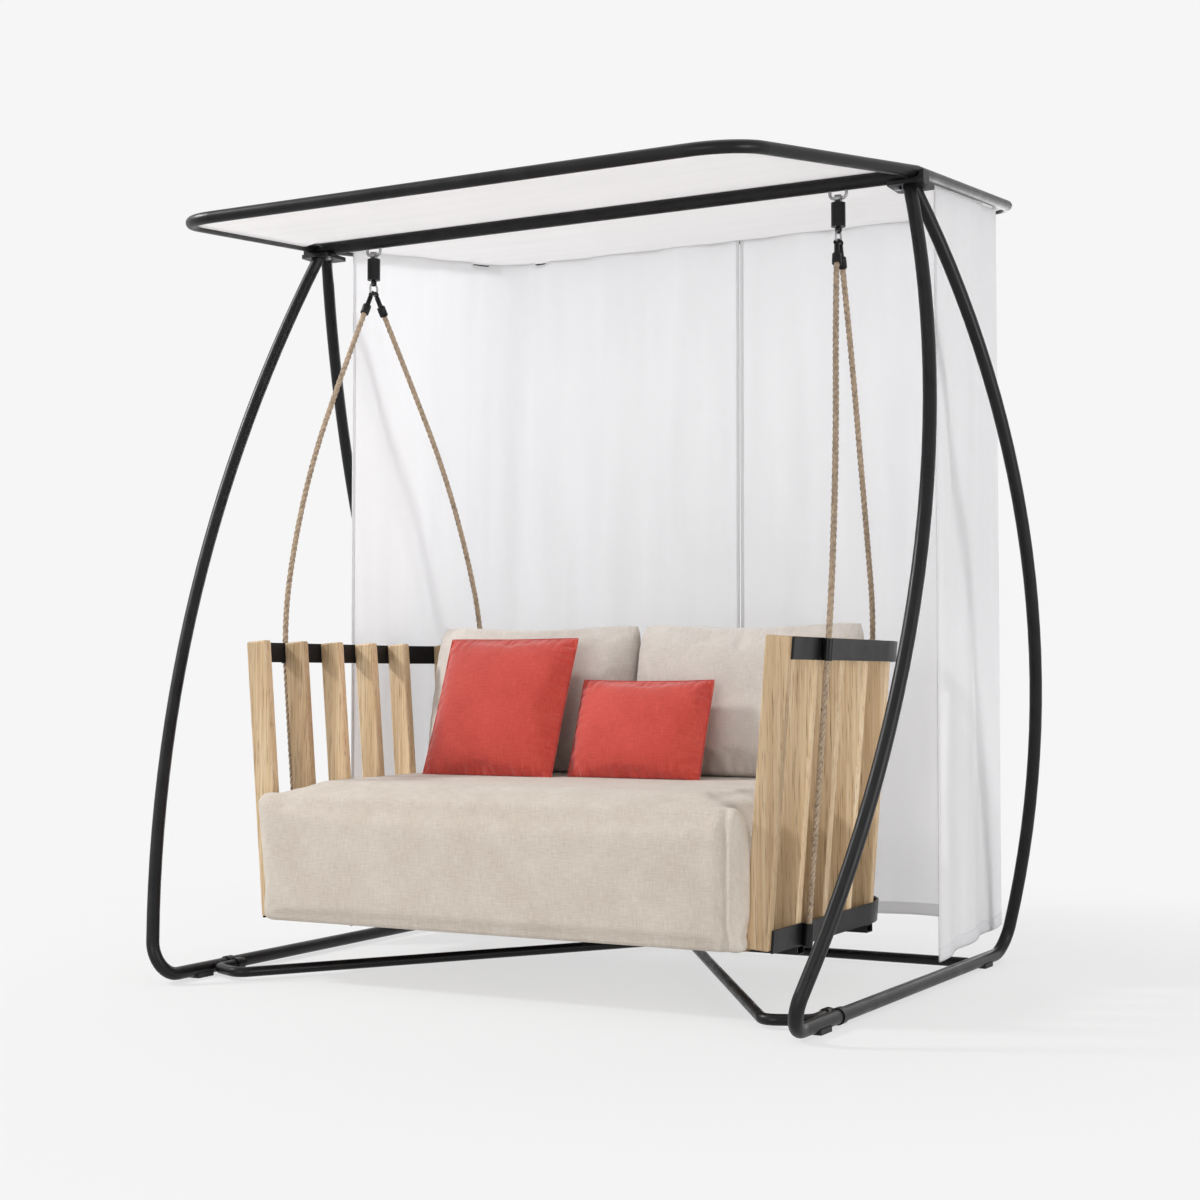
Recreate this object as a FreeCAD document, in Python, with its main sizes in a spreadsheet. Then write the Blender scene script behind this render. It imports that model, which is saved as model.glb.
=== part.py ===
import FreeCAD, Part
import math
import os
from FreeCAD import Placement, Rotation, Vector

# Garden swing: X runs along the top beam, Y to the rear, Z up from the floor.
# It is drawn with the beam over the origin; the driving dimensions are in millimetres and degrees.
DIMENSIONS = [
    ("beam_height", 1998, "floor to the axis of the top beam"),
    ("beam_diameter", 35, "top beam"),
    ("beam_end_gap", 4, "beam end to the canopy tube"),
    ("tube_diameter", 33, "legs and base rails"),
    ("tube_wall", 2.5, "wall of the legs, rails and beam"),
    ("slim_diameter", 26, "crossbar and diagonal braces"),
    ("slim_wall", 2, "wall of the crossbar, braces, canopy tubes and seat crossrails"),
    ("front_foot_inset", 49, "front foot corner inside the canopy tube"),
    ("rear_foot_inset", 26, "rear foot corner inside the canopy tube"),
    ("glide_height", 4, "foot pad under the base rail"),
    ("glide_length", 60, "foot pad along the rail"),
    ("glide_cradle", 8, "rail axis down to the upper edge of a foot pad"),
    ("front_foot", 726, "beam to the front foot corner"),
    ("rear_foot", 760, "beam to the rear foot corner"),
    ("foot_bend", 68, "bend radius between leg and rail"),
    ("foot_stub", 35, "straight end of a leg along the rail"),
    ("front_leg_flare", 15.6, "angle between a front leg's foot and its chord"),
    ("rear_leg_flare", 18.2, "angle between a rear leg's foot and its chord"),
    ("rear_bow_angle", 32, "turn of the rear legs' bow to the rear"),
    ("leg_top_inset", 15, "canopy tube to the top of a leg"),
    ("leg_top_gap", 6, "clear gap between the two leg tops"),
    ("leg_top_rear", 14, "beam to the middle between the leg tops"),
    ("plate_thickness", 10, "apex plate"),
    ("plate_width", 96, "apex plate front to rear"),
    ("plate_inset", 66, "canopy tube to the apex plate's inner edge"),
    ("plate_margin", 28, "canopy tube to the apex plate's outer edge"),
    ("bolt_diameter", 10, "apex bolt"),
    ("bolt_inset", 46, "canopy tube to the apex bolt"),
    ("bolt_head_radius", 9.2, "corner of the hexagon head"),
    ("bolt_head_height", 6.5, "hexagon head"),
    ("crossbar_offset", 506, "beam to the rear crossbar"),
    ("brace_start", 400, "beam to the rear end of a brace on the rail"),
    ("brace_bend_front", 505, "beam to the first bend of a brace"),
    ("brace_knee_inset", 174, "knee of a brace inside the canopy tube"),
    ("brace_knee_front", 548, "beam to the knee of a brace"),
    ("brace_end_offset", 48, "middle plane to the brace end at the crossbar"),
    ("brace_bend", 34, "bend radius of a brace"),
    ("collar_length", 24, "clamp collar along the rail"),
    ("collar_wall", 3, "wall of the clamp collar"),
    ("canopy_diameter", 30, "canopy tubes"),
    ("canopy_rise", 7, "canopy plane above the beam axis"),
    ("canopy_tilt", 7.2, "canopy slope, rear edge up"),
    ("canopy_half_width", 902, "middle plane to the canopy tube at the beam"),
    ("canopy_front_reach", 768, "beam to the front tube along the canopy"),
    ("canopy_front_taper", 137, "front corner inside the tube at the beam"),
    ("canopy_rear_reach", 990, "beam to the rear tube along the canopy"),
    ("canopy_rear_taper", 50, "rear corner inside the tube at the beam"),
    ("canopy_front_bend", 130, "front corner radius"),
    ("canopy_rear_bend", 80, "rear corner radius"),
    ("joint_length", 44, "canopy joint block along the side"),
    ("joint_setback", 2, "canopy joint block inside the plate edge"),
    ("fabric_thickness", 2, "canopy fabric and curtains"),
    ("curtain_inset", 26, "canopy tube axis to the curtain's middle line"),
    ("left_curtain_front", 140, "beam to the front edge of the left curtain"),
    ("right_curtain_front", 250, "beam to the front edge of the right curtain"),
    ("curtain_seam_gap", 4, "gap between the two curtain halves"),
    ("hem_front", 54, "floor to the hem at the sides' front edge"),
    ("hem_slope", 2.2, "slope of the hem, rear edge up"),
    ("fold_pitch", 118, "width of one fold of a curtain"),
    ("side_fold_depth", 5, "swing of a fold to either side, sides"),
    ("rear_fold_depth", 8, "swing of a fold to either side, rear"),
    ("hanger_inset", 203, "each hanger inside the canopy tube"),
    ("loop_rod", 8, "hanger loop rod"),
    ("loop_width", 44, "hanger loop between rod axes"),
    ("loop_drop", 18, "beam underside to the axis of the loop's bar"),
    ("loop_bend", 11, "bend radius of the hanger loop"),
    ("eye_diameter", 19, "swivel eye"),
    ("eye_width", 15, "swivel eye along the loop's bar"),
    ("running_clearance", 0.05, "radial play of the eye on the bar"),
    ("housing_diameter", 36, "swivel housing"),
    ("housing_height", 60, "swivel housing"),
    ("housing_wall", 6, "swivel housing wall"),
    ("housing_gap", 2, "swivel eye to the housing's top"),
    ("stem_diameter", 10, "stem of the swivel eye"),
    ("stem_length", 30, "eye centre to the stem head"),
    ("stem_head_diameter", 18, "head of the stem inside the housing"),
    ("bearing_height", 6, "thrust bearing under the housing's top"),
    ("link_rod", 6, "rod of the swivel ring and the small eyes"),
    ("ring_radius", 17, "swivel ring, middle of the rod"),
    ("link_play", 0.4, "play between linked rods"),
    ("weld_depth", 1.5, "small eye let into what carries it"),
    ("terminal_angle", 36, "angle of a terminal's eye on the ring from the lowest point"),
    ("terminal_diameter", 20, "rope terminal"),
    ("terminal_length", 58, "rope terminal sleeve"),
    ("socket_depth", 29, "rope inside a terminal"),
    ("rope_diameter", 16, "hanging rope"),
    ("rope_play", 0.3, "play of the rope in the guides and sockets"),
    ("guide_wall", 3.5, "wall of the rope guides, anchors and terminals"),
    ("anchor_floor", 5, "closed end of a rope anchor"),
    ("front_rope_front", 288, "beam to the front rope at the arm"),
    ("rope_rise", 52, "straight rope above a guide"),
    ("rear_rope_angle", 31, "rear rope round the corner, from the back"),
    ("basket_bottom", 152, "floor to the lower band's lower edge"),
    ("basket_top", 864, "floor to the upper band's upper edge"),
    ("band_height", 52, "upper and lower band"),
    ("band_thickness", 6, "upper and lower band"),
    ("basket_flare", 4.5, "outward lean of the arms and back"),
    ("corner_inset", 462, "corner centre inside the canopy tube"),
    ("corner_rear", 156, "beam to the corner centre"),
    ("corner_radius", 269, "slat face radius at the lower edge"),
    ("slat_thickness", 28, "slat along the band"),
    ("slat_depth", 60, "slat from outside to inside"),
    ("slat_gap", 0.7, "slat to band, clears the round corner"),
    ("slat_count", 10, "slats on each half of the basket"),
    ("arm_slat_count", 6, "slats that count as the arm on each half"),
    ("first_slat_front", 462, "beam to the middle of the first slat"),
    ("slat_edge", 5, "rounding of the slats"),
    ("crossrail_width", 40, "seat crossrail"),
    ("crossrail_height", 20, "seat crossrail"),
    ("front_crossrail", 300, "beam to the front crossrail"),
    ("rear_crossrail", 150, "beam to the rear crossrail"),
    ("platform_thickness", 12, "seat platform"),
    ("platform_front", 462, "beam to the platform's front edge"),
    ("seat_gap", 4, "platform and cushion to the slats"),
    ("soft_gap", 0.5, "soft pieces to what carries them"),
    ("seat_height", 508, "floor to the crown of the seat cushion"),
    ("seat_front", 534, "beam to the seat cushion's front face"),
    ("seat_roll", 70, "rounding of the seat cushion's top edge"),
    ("apron_depth", 48, "front roll of the seat cushion, front to rear"),
    ("apron_overlap", 24, "front roll past the seat's side"),
    ("apron_edge", 19, "rounding of the front roll"),
    ("apron_drop", 14, "front roll's top below the crown"),
    ("back_past", 210, "corner centre to the outer side of a back cushion"),
    ("back_tall", 395, "back cushion"),
    ("back_thick", 160, "back cushion"),
    ("back_lean_angle", 12, "lean of the back cushions"),
    ("back_gap", 10, "gap between the back cushions"),
    ("back_swell", 10, "swell of the back cushions' sides"),
    ("back_rear", 368, "beam to the back cushion's rear face at half height"),
    ("square_side", 400, "square cushion"),
    ("square_thick", 120, "square cushion"),
    ("square_offset", 312, "middle plane to the square cushion"),
    ("square_lean_angle", 22, "lean of the square cushion"),
    ("lumbar_width", 385, "lumbar cushion"),
    ("lumbar_tall", 275, "lumbar cushion"),
    ("lumbar_thick", 110, "lumbar cushion"),
    ("lumbar_offset", 106, "middle plane to the lumbar cushion"),
    ("lumbar_lean_angle", 20, "lean of the lumbar cushion"),
    ("scatter_gap", 8, "scatter cushions to the back cushions"),
    ("scatter_draw", 8, "scatter cushions' sides drawn in"),
    ("contact_gap", 0.3, "round faces that meet"),
    ("bore_play", 0.2, "tubes, rods and bolts in their holes"),
]

doc = FreeCAD.newDocument("garden_swing")
sheet = doc.addObject("Spreadsheet::Sheet", "dimensions")
for row, (alias, value, note) in enumerate(DIMENSIONS, start=1):
    sheet.set(f"A{row}", note)
    sheet.set(f"B{row}", str(value))
    sheet.setAlias(f"B{row}", alias)
doc.recompute()

X_AXIS = Vector(1, 0, 0)
Y_AXIS = Vector(0, 1, 0)
Z_AXIS = Vector(0, 0, 1)
ORIGIN = Vector(0, 0, 0)
SIDES = (("left", -1), ("right", 1))
FAR = 4000
nodes = []


def size(alias):
    return float(sheet.get(alias))


def unit(vector):
    return vector * (1 / vector.Length)


def node(label, shape):
    piece = doc.addObject("Part::Feature", label)
    piece.Label = label
    piece.Shape = shape
    nodes.append(piece)
    return piece


def keep(piece, label):
    piece.Label = label
    nodes.append(piece)
    return piece


def mirrored(shape, side):
    return shape if side > 0 else shape.mirror(ORIGIN, X_AXIS)


def line(start, end):
    return Part.LineSegment(start, end).toShape()


def arc(start, middle, end):
    return Part.Arc(start, middle, end).toShape()


# A route of straight runs joined by tangent arcs, one radius for each inner point.
def route(points, radii):
    edges = []
    start = points[0]
    for before, point, after, radius in zip(points, points[1:], points[2:], radii):
        back = unit(before - point)
        ahead = unit(after - point)
        half = back.getAngle(ahead) / 2
        tangent = radius / math.tan(half)
        first = point + back * tangent
        last = point + ahead * tangent
        inner = unit(back + ahead)
        middle = point + inner * (radius / math.sin(half) - radius)
        edges += [line(start, first), arc(first, middle, last)]
        start = last
    return edges + [line(start, points[-1])]


# A round bar swept along a route, with its volume held against section times length.
def bar(edges, diameter):
    path = Part.Wire(edges)
    first = edges[0]
    section = Part.makeCircle(diameter / 2, first.valueAt(first.FirstParameter),
                              first.tangentAt(first.FirstParameter))
    solid = path.makePipeShell([Part.Wire(section)], True, False)
    expected = math.pi * diameter ** 2 / 4 * path.Length
    if abs(solid.Volume / expected - 1) > 0.01:
        raise ValueError(f"swept bar has {solid.Volume / expected:.3f} of its volume")
    return solid


def tube(edges, diameter, wall):
    return bar(edges, diameter).cut(bar(edges, diameter - 2 * wall))


def rod(start, end, diameter):
    return Part.makeCylinder(diameter / 2, (end - start).Length, start, end - start)


def box(low, high):
    span = high - low
    return Part.makeBox(span.x, span.y, span.z, low)


def primitive(kind, name, sizes, placement):
    piece = doc.addObject(kind, name)
    for attribute, expression in sizes.items():
        piece.setExpression(attribute, expression)
    piece.Placement = placement
    return piece


def boolean(kind, name, base, tool):
    piece = doc.addObject(kind, name)
    piece.Base = base
    piece.Tool = tool
    return piece


def joined(name, pieces):
    piece = doc.addObject("Part::MultiFuse", name)
    piece.Shapes = pieces
    return piece


def group(name, pieces):
    piece = doc.addObject("Part::Compound", name)
    piece.Links = pieces
    return piece


# A straight tube as two bound cylinders, one cut from the other.
def straight_tube(label, diameter, wall, length, placement):
    outer = primitive("Part::Cylinder", label + "_outer",
                      {"Radius": f"dimensions.{diameter} / 2", "Height": f"{length} mm"}, placement)
    inner = primitive("Part::Cylinder", label + "_bore",
                      {"Radius": f"dimensions.{diameter} / 2 - dimensions.{wall}",
                       "Height": f"{length} mm"}, placement)
    return boolean("Part::Cut", label, outer, inner)


ALONG_X = Rotation(Z_AXIS, X_AXIS)
contact = size("contact_gap")
play = size("bore_play")
tube_radius = size("tube_diameter") / 2
canopy_wide = size("canopy_half_width")
front_half = canopy_wide - size("canopy_front_taper")
rear_half = canopy_wide - size("canopy_rear_taper")
bolt_x = canopy_wide - size("bolt_inset")
beam_height = size("beam_height")
beam_under = beam_height - size("beam_diameter") / 2
plate_under = beam_under - size("plate_thickness")
rail_height = size("glide_height") + tube_radius
front_corner = Vector(canopy_wide - size("front_foot_inset"), -size("front_foot"), rail_height)
rear_corner = Vector(canopy_wide - size("rear_foot_inset"), size("rear_foot"), rail_height)
rail_way = unit(rear_corner - front_corner)


# Legs: a straight foot, one long bow up to the apex plate, and a bend into the base rail.
def leg(corner, inward, bow, flare_angle):
    top_y = size("leg_top_rear") - inward * (tube_radius / math.cos(math.atan2(-corner.y, beam_height))
                                             + size("leg_top_gap") / 2)
    top = Vector(canopy_wide - size("leg_top_inset"), top_y, plate_under)
    chord = unit(top - corner)
    outward = unit(bow - chord * bow.dot(chord))
    flare = math.radians(flare_angle)
    rising = chord * math.cos(flare) + outward * math.sin(flare)
    along = rail_way * inward
    half = rising.getAngle(along) / 2
    tangent = size("foot_bend") / math.tan(half)
    low = corner + rising * tangent
    inside = unit(top - low - rising * rising.dot(top - low))
    radius = (top - low).Length ** 2 / (2 * inside.dot(top - low))
    centre = low + inside * radius
    middle = centre + unit((low - centre) + (top - centre)) * radius
    tip = unit(top - centre).cross(unit(inside.cross(rising)))
    tip = tip if tip.z > 0 else tip * -1
    bend_end = corner + along * tangent
    bend_middle = corner + unit(rising + along) * (size("foot_bend") / math.sin(half) - size("foot_bend"))
    stub_end = bend_end + along * size("foot_stub")
    edges = [line(stub_end, bend_end), arc(bend_end, bend_middle, low), arc(low, middle, top),
             line(top, top + tip * size("tube_diameter"))]
    above = box(Vector(-FAR, -FAR, plate_under), Vector(FAR, FAR, FAR))
    return tube(edges, size("tube_diameter"), size("tube_wall")).cut(above), stub_end


rear_bow = math.radians(size("rear_bow_angle"))
front_leg, front_stub = leg(front_corner, 1, X_AXIS, size("front_leg_flare"))
rear_leg, rear_stub = leg(rear_corner, -1, Vector(math.cos(rear_bow), math.sin(rear_bow), 0),
                          size("rear_leg_flare"))
for side_name, side in SIDES:
    node(side_name + "_front_leg", mirrored(front_leg, side))
    node(side_name + "_rear_leg", mirrored(rear_leg, side))

# A point of the right base rail's axis at a distance behind the beam.
def rail_point(rear_y):
    return front_corner + rail_way * ((rear_y - front_corner.y) / rail_way.y)


# Base: two rails between the feet, a rear crossbar and two diagonal braces lapped on the rails.
for side_name, side in SIDES:
    start = Vector(side * front_stub.x, front_stub.y, rail_height)
    way = Vector(side * rail_way.x, rail_way.y, 0)
    label = side_name + "_base_rail"
    keep(straight_tube(label, "tube_diameter", "tube_wall", (rear_stub - front_stub).Length,
                       Placement(start, Rotation(Z_AXIS, way))), label)

slim_radius = size("slim_diameter") / 2
crossbar_half = rail_point(size("crossbar_offset") - slim_radius).x - tube_radius / rail_way.y - contact
keep(straight_tube("rear_crossbar", "slim_diameter", "slim_wall", 2 * crossbar_half,
                   Placement(Vector(-crossbar_half, size("crossbar_offset"), rail_height), ALONG_X)),
     "rear_crossbar")

lap = Vector(-rail_way.y, rail_way.x, 0) * (tube_radius + slim_radius + contact)
brace_points = [
    rail_point(-size("brace_start")) + lap,
    rail_point(-size("brace_bend_front")) + lap,
    Vector(canopy_wide - size("brace_knee_inset"), -size("brace_knee_front"), rail_height),
    Vector(size("brace_end_offset"), size("crossbar_offset"), rail_height),
]
brace = tube(route(brace_points, [size("brace_bend")] * 2), size("slim_diameter"), size("slim_wall"))
brace = brace.cut(rod(Vector(-FAR, size("crossbar_offset"), rail_height),
                      Vector(FAR, size("crossbar_offset"), rail_height),
                      size("slim_diameter") + 2 * contact))
brace = max(brace.Solids, key=lambda solid: solid.Volume)
for side_name, side in SIDES:
    node(side_name + "_diagonal_brace", mirrored(brace, side))

# Collars clamp each brace end to its rail, and pads carry the rails.
collar_rear = rail_point(-size("brace_start")) - rail_way * (size("collar_length") / 2)
collar_front = collar_rear - rail_way * size("collar_length")
collar_growth = 2 * size("collar_wall")
reach = rail_way * FAR
collar = rod(collar_front, collar_rear, size("tube_diameter") + collar_growth)
collar = collar.fuse(rod(collar_front + lap, collar_rear + lap, size("slim_diameter") + collar_growth))
rail_space = rod(front_corner - reach, rear_corner + reach, size("tube_diameter") + 2 * play)
brace_space = rod(front_corner - reach + lap, rear_corner + reach + lap, size("slim_diameter") + 2 * play)
collar = max(collar.cut(rail_space).cut(brace_space).Solids, key=lambda solid: solid.Volume)
node("brace_collars", Part.makeCompound([mirrored(collar, side) for _, side in SIDES]))

glides = []
for middle in (front_stub + rail_way * size("glide_length"), rear_stub - rail_way * size("glide_length")):
    pad = box(Vector(-tube_radius, -size("glide_length") / 2, -rail_height),
              Vector(tube_radius, size("glide_length") / 2, -size("glide_cradle")))
    pad.Placement = Placement(middle, Rotation(Y_AXIS, rail_way)).multiply(pad.Placement)
    glides += [mirrored(pad.cut(rail_space), side) for _, side in SIDES]
node("foot_glides", Part.makeCompound(glides))

# Top beam: its ends stop at the canopy tubes, with holes for the hanger loops and apex bolts.
canopy_radius = size("canopy_diameter") / 2
beam_half = canopy_wide - canopy_radius - size("beam_end_gap")
hanger_x = canopy_wide - size("hanger_inset")
loop_half = size("loop_width") / 2
beam_tube = straight_tube("beam_tube", "beam_diameter", "tube_wall", 2 * beam_half,
                          Placement(Vector(-beam_half, 0, beam_height), ALONG_X))
drills = []
for side_name, side in SIDES:
    for hole, hole_x, hole_rod in (("inner", hanger_x - loop_half, "loop_rod"),
                                   ("outer", hanger_x + loop_half, "loop_rod"),
                                   ("bolt", bolt_x, "bolt_diameter")):
        drills.append(primitive("Part::Cylinder", f"{side_name}_{hole}_drill",
                                {"Radius": f"dimensions.{hole_rod} / 2 + dimensions.bore_play",
                                 "Height": "dimensions.beam_diameter / 2 + dimensions.plate_thickness"},
                                Placement(Vector(side * hole_x, 0, plate_under), Rotation())))
keep(boolean("Part::Cut", "top_beam", beam_tube, joined("beam_drills", drills)), "top_beam")


# Apex plates: the legs stand under them, the beam end and the canopy joint rest on them.
def apex_plate(label, side):
    body = doc.addObject("PartDesign::Body", label)
    sketch = body.newObject("Sketcher::SketchObject", label + "_outline")
    plane = [f for f in body.Origin.OriginFeatures if f.Role == "XY_Plane"][0]
    sketch.AttachmentSupport = [(plane, "")]
    sketch.MapMode = "FlatFace"
    inner, outer = canopy_wide - size("plate_inset"), canopy_wide + size("plate_margin")
    front = size("leg_top_rear") - size("plate_width") / 2
    rear = size("leg_top_rear") + size("plate_width") / 2
    corners = [Vector(side * inner, front), Vector(side * outer, front),
               Vector(side * outer, rear), Vector(side * inner, rear)]
    for start, end in zip(corners, corners[1:] + corners[:1]):
        sketch.addGeometry(Part.LineSegment(start, end), False)
    sketch.addGeometry(Part.Circle(Vector(side * bolt_x, 0), Z_AXIS,
                                   size("bolt_diameter") / 2 + play), False)
    pad = body.newObject("PartDesign::Pad", label + "_pad")
    pad.Profile = sketch
    pad.setExpression("Length", "dimensions.plate_thickness")
    doc.recompute()
    uprights = [f"Edge{i + 1}" for i, edge in enumerate(pad.Shape.Edges)
                if len(edge.Vertexes) == 2 and abs(edge.tangentAt(edge.FirstParameter).z) > 0.99
                and edge.Vertexes[0].Point.y in (front, rear)]
    rounding = body.newObject("PartDesign::Fillet", label + "_corners")
    rounding.Base = (pad, uprights)
    rounding.setExpression("Radius", "dimensions.plate_thickness")
    body.Placement = Placement(Vector(0, 0, plate_under), Rotation())
    keep(body, label)


for side_name, side in SIDES:
    apex_plate(side_name + "_apex_plate", side)

bolts = []
for side_name, side in SIDES:
    seat = Vector(side * bolt_x, 0, plate_under)
    head = primitive("Part::Prism", side_name + "_bolt_head",
                     {"Circumradius": "dimensions.bolt_head_radius", "Height": "dimensions.bolt_head_height"},
                     Placement(seat - Z_AXIS * size("bolt_head_height"), Rotation()))
    shank = primitive("Part::Cylinder", side_name + "_bolt_shank",
                      {"Radius": "dimensions.bolt_diameter / 2",
                       "Height": "dimensions.plate_thickness + (dimensions.beam_diameter"
                                 " - dimensions.bolt_diameter) / 2"}, Placement(seat, Rotation()))
    bolts.append(boolean("Part::Fuse", side_name + "_apex_bolt", head, shank))
keep(group("apex_bolts", bolts), "apex_bolts")

# Canopy: a front and a rear tube meet over the beam ends, in a plane that slopes to the front.
canopy_height = beam_height + size("canopy_rise")
canopy_place = Placement(Vector(0, 0, canopy_height), Rotation(X_AXIS, size("canopy_tilt")))


def canopy_tube(reach, half, bend):
    past = -math.copysign(size("canopy_diameter"), reach)
    lean = (canopy_wide - half) / reach * past
    points = [Vector(canopy_wide - lean, past), Vector(half, reach),
              Vector(-half, reach), Vector(-canopy_wide + lean, past)]
    whole = tube(route(points, [bend, bend]), size("canopy_diameter"), size("slim_wall"))
    far_y = math.copysign(FAR, reach)
    keep_side = box(Vector(-FAR, min(0, far_y), -FAR), Vector(FAR, max(0, far_y), FAR))
    shape = whole.common(keep_side)
    shape.Placement = canopy_place.multiply(shape.Placement)
    return shape


front_canopy = canopy_tube(-size("canopy_front_reach"), front_half, size("canopy_front_bend"))
rear_canopy = canopy_tube(size("canopy_rear_reach"), rear_half, size("canopy_rear_bend"))
node("canopy_front_tube", front_canopy)
node("canopy_rear_tube", rear_canopy)


# Joint blocks on the apex plates are saddles under the canopy tube ends.
def canopy_bore(reach, half):
    start = Vector(canopy_wide, 0)
    way = unit(Vector(half, reach) - start) * size("joint_length")
    bore = rod(start - way, start + way, size("canopy_diameter") + 2 * play)
    bore.Placement = canopy_place.multiply(bore.Placement)
    return bore


joint_half = size("joint_length") / 2
joint = box(Vector(beam_half + contact, -joint_half, beam_under),
            Vector(canopy_wide + size("plate_margin") - size("joint_setback"), joint_half, canopy_height))
joint = joint.cut(canopy_bore(-size("canopy_front_reach"), front_half))
joint = joint.cut(canopy_bore(size("canopy_rear_reach"), rear_half))
for side_name, side in SIDES:
    node(side_name + "_canopy_joint", mirrored(joint, side))

# Canopy fabric: two flat panels from a ridge on the beam to the front and rear tubes.
fabric_thickness = size("fabric_thickness")
ridge = Vector(0, 0, beam_height + size("beam_diameter") / 2 + contact)
fabric_inset = canopy_radius + contact


def fabric_panel(reach, half, bend):
    sign = math.copysign(1, reach)
    slant = (canopy_wide - half) / abs(reach)
    rim = canopy_place.multVec(Vector(0, reach - sign * fabric_inset, 0)) - ridge
    rim_y = sign * rim.Length
    ridge_x = canopy_wide - fabric_inset * math.hypot(1, slant)
    corner_x = ridge_x - slant * rim.Length
    points = [Vector(ridge_x, 0), Vector(corner_x, rim_y), Vector(-corner_x, rim_y), Vector(-ridge_x, 0)]
    edges = route(points, [bend - canopy_radius] * 2)
    edges.append(line(points[-1], points[0]))
    tilt = math.degrees(math.asin(rim.z / rim_y))
    outline = Part.Face(Part.Wire(edges))
    outline.Placement = Placement(ridge, Rotation(X_AXIS, tilt))
    return outline.extrude(Z_AXIS * fabric_thickness), tilt


front_panel, front_tilt = fabric_panel(-size("canopy_front_reach"), front_half,
                                       size("canopy_front_bend"))
rear_panel, rear_tilt = fabric_panel(size("canopy_rear_reach"), rear_half,
                                     size("canopy_rear_bend"))
node("canopy_fabric", front_panel.fuse(rear_panel).removeSplitter())


# Curtains: each half runs from the rear seam round its corner and forward along its side, in folds.
def fold_run(start, end, depth, first_turn):
    ahead = unit(end - start)
    across = Vector(-ahead.y, ahead.x, 0)
    count = max(2, round((end - start).Length / size("fold_pitch")))
    half = (end - start).Length / count / 2
    slope = 2 * math.atan2(depth, half)
    stations = []
    for index in range(count + 1):
        turn = first_turn * (1 if index % 2 == 0 else -1)
        normal = across * math.cos(slope) - ahead * (math.sin(slope) * turn)
        stations.append((start + ahead * (2 * half * index), normal))
        if index < count:
            stations.append((start + ahead * (half * (2 * index + 1)) + across * (depth * turn), across))
    return stations


def curtain(front_edge, side):
    inset = size("curtain_inset")
    level = math.cos(math.radians(size("canopy_tilt")))
    rear_y = size("canopy_rear_reach") * level - inset
    slant = size("canopy_rear_taper") / (size("canopy_rear_reach") * level)
    bend = size("canopy_rear_bend")

    def side_x(y):
        return canopy_wide - slant * y - inset

    seam = Vector(size("curtain_seam_gap") / 2, rear_y)
    turn_in = Vector(side_x(rear_y) - bend, rear_y)
    turn_out = Vector(side_x(rear_y - bend), rear_y - bend)
    front = Vector(side_x(front_edge), front_edge)
    rear_run = fold_run(seam, turn_in, size("rear_fold_depth"), 1)
    side_run = fold_run(turn_out, front, size("side_fold_depth"), 1)
    centre = Vector(turn_in.x, turn_out.y)
    outward = unit(Vector(1, 1, 0))
    stations = rear_run + [(centre + outward * bend, outward)] + side_run
    faces = []
    for offset in (fabric_thickness / 2, -fabric_thickness / 2):
        points = [place + normal * offset for place, normal in stations]
        faces.append([arc(*points[i:i + 3]) for i in range(0, len(points) - 2, 2)])
    outer, inner = faces
    closing = [line(outer[-1].Vertexes[-1].Point, inner[-1].Vertexes[-1].Point),
               line(inner[0].Vertexes[0].Point, outer[0].Vertexes[0].Point)]
    sheet_face = Part.Face(Part.Wire(Part.__sortEdges__(outer + inner + closing)))
    hanging = sheet_face.extrude(Z_AXIS * FAR)
    roof = box(Vector(-FAR, -FAR, -contact), Vector(FAR, FAR, FAR))
    roof.Placement = Placement(ridge, Rotation(X_AXIS, rear_tilt))
    floor = box(Vector(-FAR, -FAR, -FAR), Vector(FAR, FAR, 0))
    floor.Placement = Placement(Vector(0, front_edge, size("hem_front")), Rotation(X_AXIS, size("hem_slope")))
    return mirrored(hanging.cut(roof).cut(floor), side)


node("left_curtain", curtain(size("left_curtain_front"), -1))
node("right_curtain", curtain(size("right_curtain_front"), 1))

# Hanger loops: bent rods under the beam, whose level bar is the axis that the seat swings on.
pivot_height = beam_under - size("loop_drop")
loop_top = beam_height - size("loop_rod")
for side_name, side in SIDES:
    low_x, high_x = hanger_x - loop_half, hanger_x + loop_half
    points = [Vector(low_x, 0, loop_top), Vector(low_x, 0, pivot_height),
              Vector(high_x, 0, pivot_height), Vector(high_x, 0, loop_top)]
    loop = bar(route(points, [size("loop_bend")] * 2), size("loop_rod"))
    node(side_name + "_hanger_loop", mirrored(loop, side))

# Swivels: an eye on the loop's bar, its headed stem in a housing, a bearing under the housing's top.
eye_radius = size("eye_diameter") / 2
pivot = Vector(hanger_x, 0, pivot_height)
housing_top = pivot_height - eye_radius - size("housing_gap")
stem_end = pivot_height - size("stem_length")
head_height = size("bearing_height")
half_width = X_AXIS * (size("eye_width") / 2)
eye = rod(pivot - half_width, pivot + half_width, size("eye_diameter"))
eye = eye.fuse(rod(pivot, pivot - Z_AXIS * size("stem_length"), size("stem_diameter")))
stem_low = Vector(hanger_x, 0, stem_end)
eye = eye.fuse(rod(stem_low, stem_low - Z_AXIS * head_height, size("stem_head_diameter")))
eye = eye.cut(rod(pivot - half_width * 2, pivot + half_width * 2,
                  size("loop_rod") + 2 * size("running_clearance")))
bore_diameter = size("housing_diameter") - 2 * size("housing_wall")
roof_low = Vector(hanger_x, 0, stem_end + size("bearing_height") + play)
housing_base = Vector(hanger_x, 0, housing_top - size("housing_height"))
cavity_low = housing_base + Z_AXIS * size("housing_wall")
housing = rod(housing_base, Vector(hanger_x, 0, housing_top), size("housing_diameter"))
housing = housing.cut(rod(cavity_low, roof_low, bore_diameter))
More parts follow.
